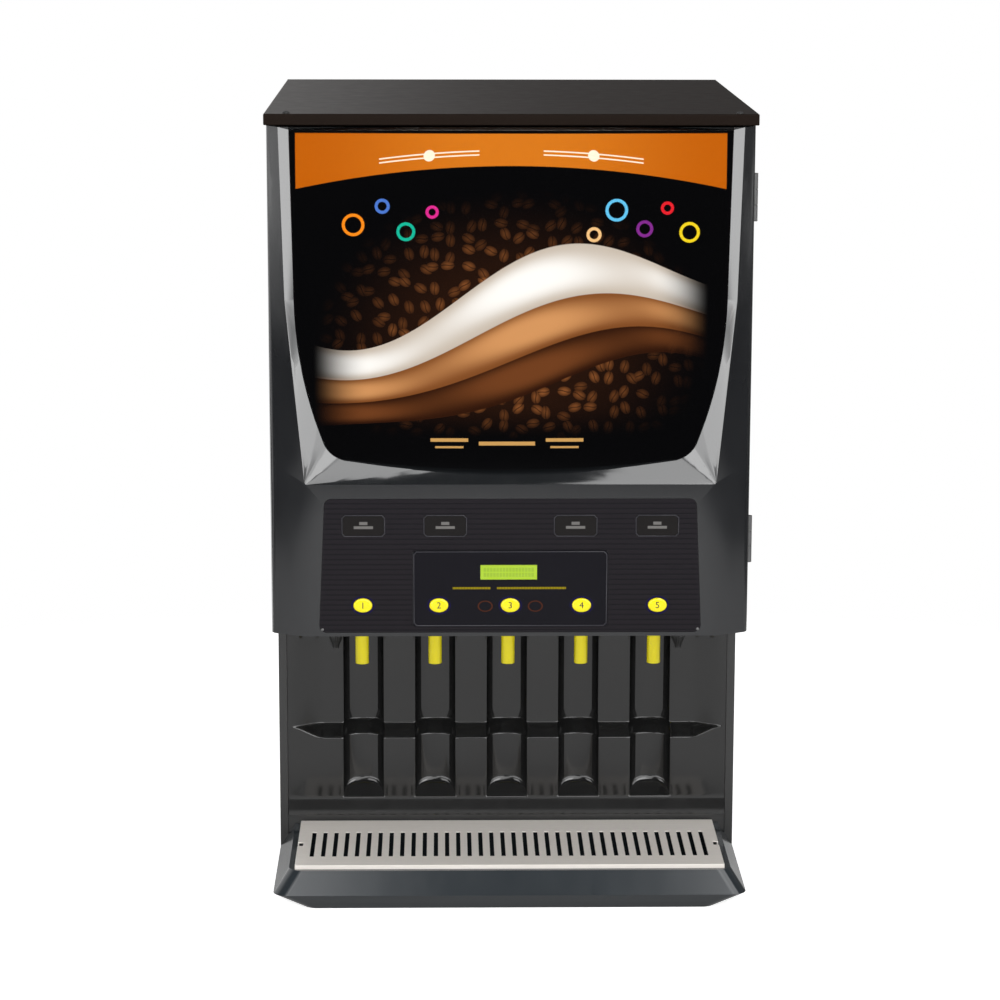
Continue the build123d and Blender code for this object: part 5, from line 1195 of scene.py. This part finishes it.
label_places = [((side * x * MM, panel_front, LABEL_Z * MM), FRONT, 0.0) for x in LABEL_X for side in (-1, 1)]
label_frame = frame_pattern("label_frame", LABEL_WIDE_MM, LABEL_HIGH_MM, 0.5)
label_frame.make("label_frames", label_places, "door", "overlay_film")
low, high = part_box("display_module")
plate_wide = (high.x - low.x) / MM - 2 * FRAME_IN_MM
plate_high = (high.z - low.z) / MM - 2 * FRAME_IN_MM
plate_place = [((0, low.y, (low.z + high.z) / 2), FRONT, 0.0)]
plate_frame = frame_pattern("plate_frame", plate_wide, plate_high, 0.6)
plate_frame.make("plate_frame", plate_place, "door", "module_plastic")

# %% [markdown]
# ## Bumpers and studs
# Two rubber bumpers sit on the lid's front edge, and two small studs hold the overlay's lower corners. Both
# are balls pressed flat, half sunk in what they sit on.

# %% Bumpers on the lid and studs of the overlay
BUMPER_X, BUMPER_IN, STUD_IN = (-0.238, 0.242), 0.008, 0.003


def dome_pattern(name, radius, sides, flatness, finish):
    """A ball pressed flat."""
    pattern = Pattern(name, {"Radius": radius})
    round_sizes = {"Segments": sides, "Rings": sides // 2, "Radius": pattern.size("Radius")}
    ball = pattern.node("GeometryNodeMeshUVSphere", None, round_sizes, "Mesh")
    flat = pattern.node("GeometryNodeTransform", None, {"Geometry": ball, "Scale": (1, 1, flatness)})
    return pattern.end_on_points(flat, finish)


low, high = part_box("top_cover")
bumper_places = [((x, low.y + BUMPER_IN, high.z), UP, 0.0) for x in BUMPER_X]
dome = dome_pattern("dome", 4.0 * MM, 24, 0.6, "foot_rubber")
dome.make("lid_bumpers", bumper_places, "cabinet", "black_rubber")
low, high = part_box("control_panel")
stud_places = [((x, low.y, low.z + STUD_IN), FRONT, 0.0) for x in (low.x + STUD_IN, high.x - STUD_IN)]
stud = dome_pattern("stud", 1.7 * MM, 20, 0.5, "hinge_steel")
stud.make("overlay_studs", stud_places, "door", "inner_steel")

# %% [markdown]
# ## Louvres
# A press cuts each slot in the rear cover and pushes the metal above it out into a hood. One hood is drawn
# as a curved strip that tapers at both ends, and the tree puts it over every slot.

# %% Louvres in the rear cover
HOOD_STATIONS = [(-38, 0.0), (-36, 0.55), (-31, 1.0), (31, 1.0), (36, 0.55), (38, 0.0)]
HOOD_ARC, HOOD_RISE_MM, HOOD_PROUD_MM, HOOD_WALL_MM = 7, 8.0, 4.2, 0.8
LOUVRE_X, LOUVRE_LOW, LOUVRE_PITCH, LOUVRE_ROWS = (-0.110, 0.110), 0.620, 0.014, 8


def louvre_hood():
    """A pressed hood: a curved strip from the sheet above the slot to a free lip below."""
    shape = bmesh.new()
    columns = []
    arc = [k / (HOOD_ARC - 1) * math.pi / 2 for k in range(HOOD_ARC)]
    for x, proud in HOOD_STATIONS:
        column = []
        for angle in arc:
            rise = math.cos(angle) * HOOD_RISE_MM - HOOD_RISE_MM / 2
            out = math.sin(angle) * HOOD_PROUD_MM * proud
            column.append(shape.verts.new((x * MM, rise * MM, out * MM)))
        columns.append(column)
    for left, right in zip(columns, columns[1:]):
        for k in range(HOOD_ARC - 1):
            shape.faces.new((left[k], right[k], right[k + 1], left[k + 1]))
    holder = stand(shape, "louvre_hood")
    wall = holder.modifiers.new("wall", "SOLIDIFY")
    wall.thickness, wall.offset = HOOD_WALL_MM * MM, 1.0
    return plain_mesh(holder, "louvre_hood_shape")


hood = louvre_hood()
louvre = Pattern("louvre", {"Lift": 0.0})
pressed = louvre.node("GeometryNodeObjectInfo", None, {"Object": hood}, "Geometry")
louvre.end_on_points(louvre.lift(pressed, louvre.size("Lift")), "cabinet_paint")
rear_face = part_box("rear_cover")[1].y
slots = [(x, rear_face, LOUVRE_LOW + LOUVRE_PITCH * row) for x in LOUVRE_X for row in range(LOUVRE_ROWS)]
louvre.make("rear_louvres", [(place, BACK, math.pi) for place in slots], "cabinet", "charcoal_paint")
bpy.data.objects.remove(hood)
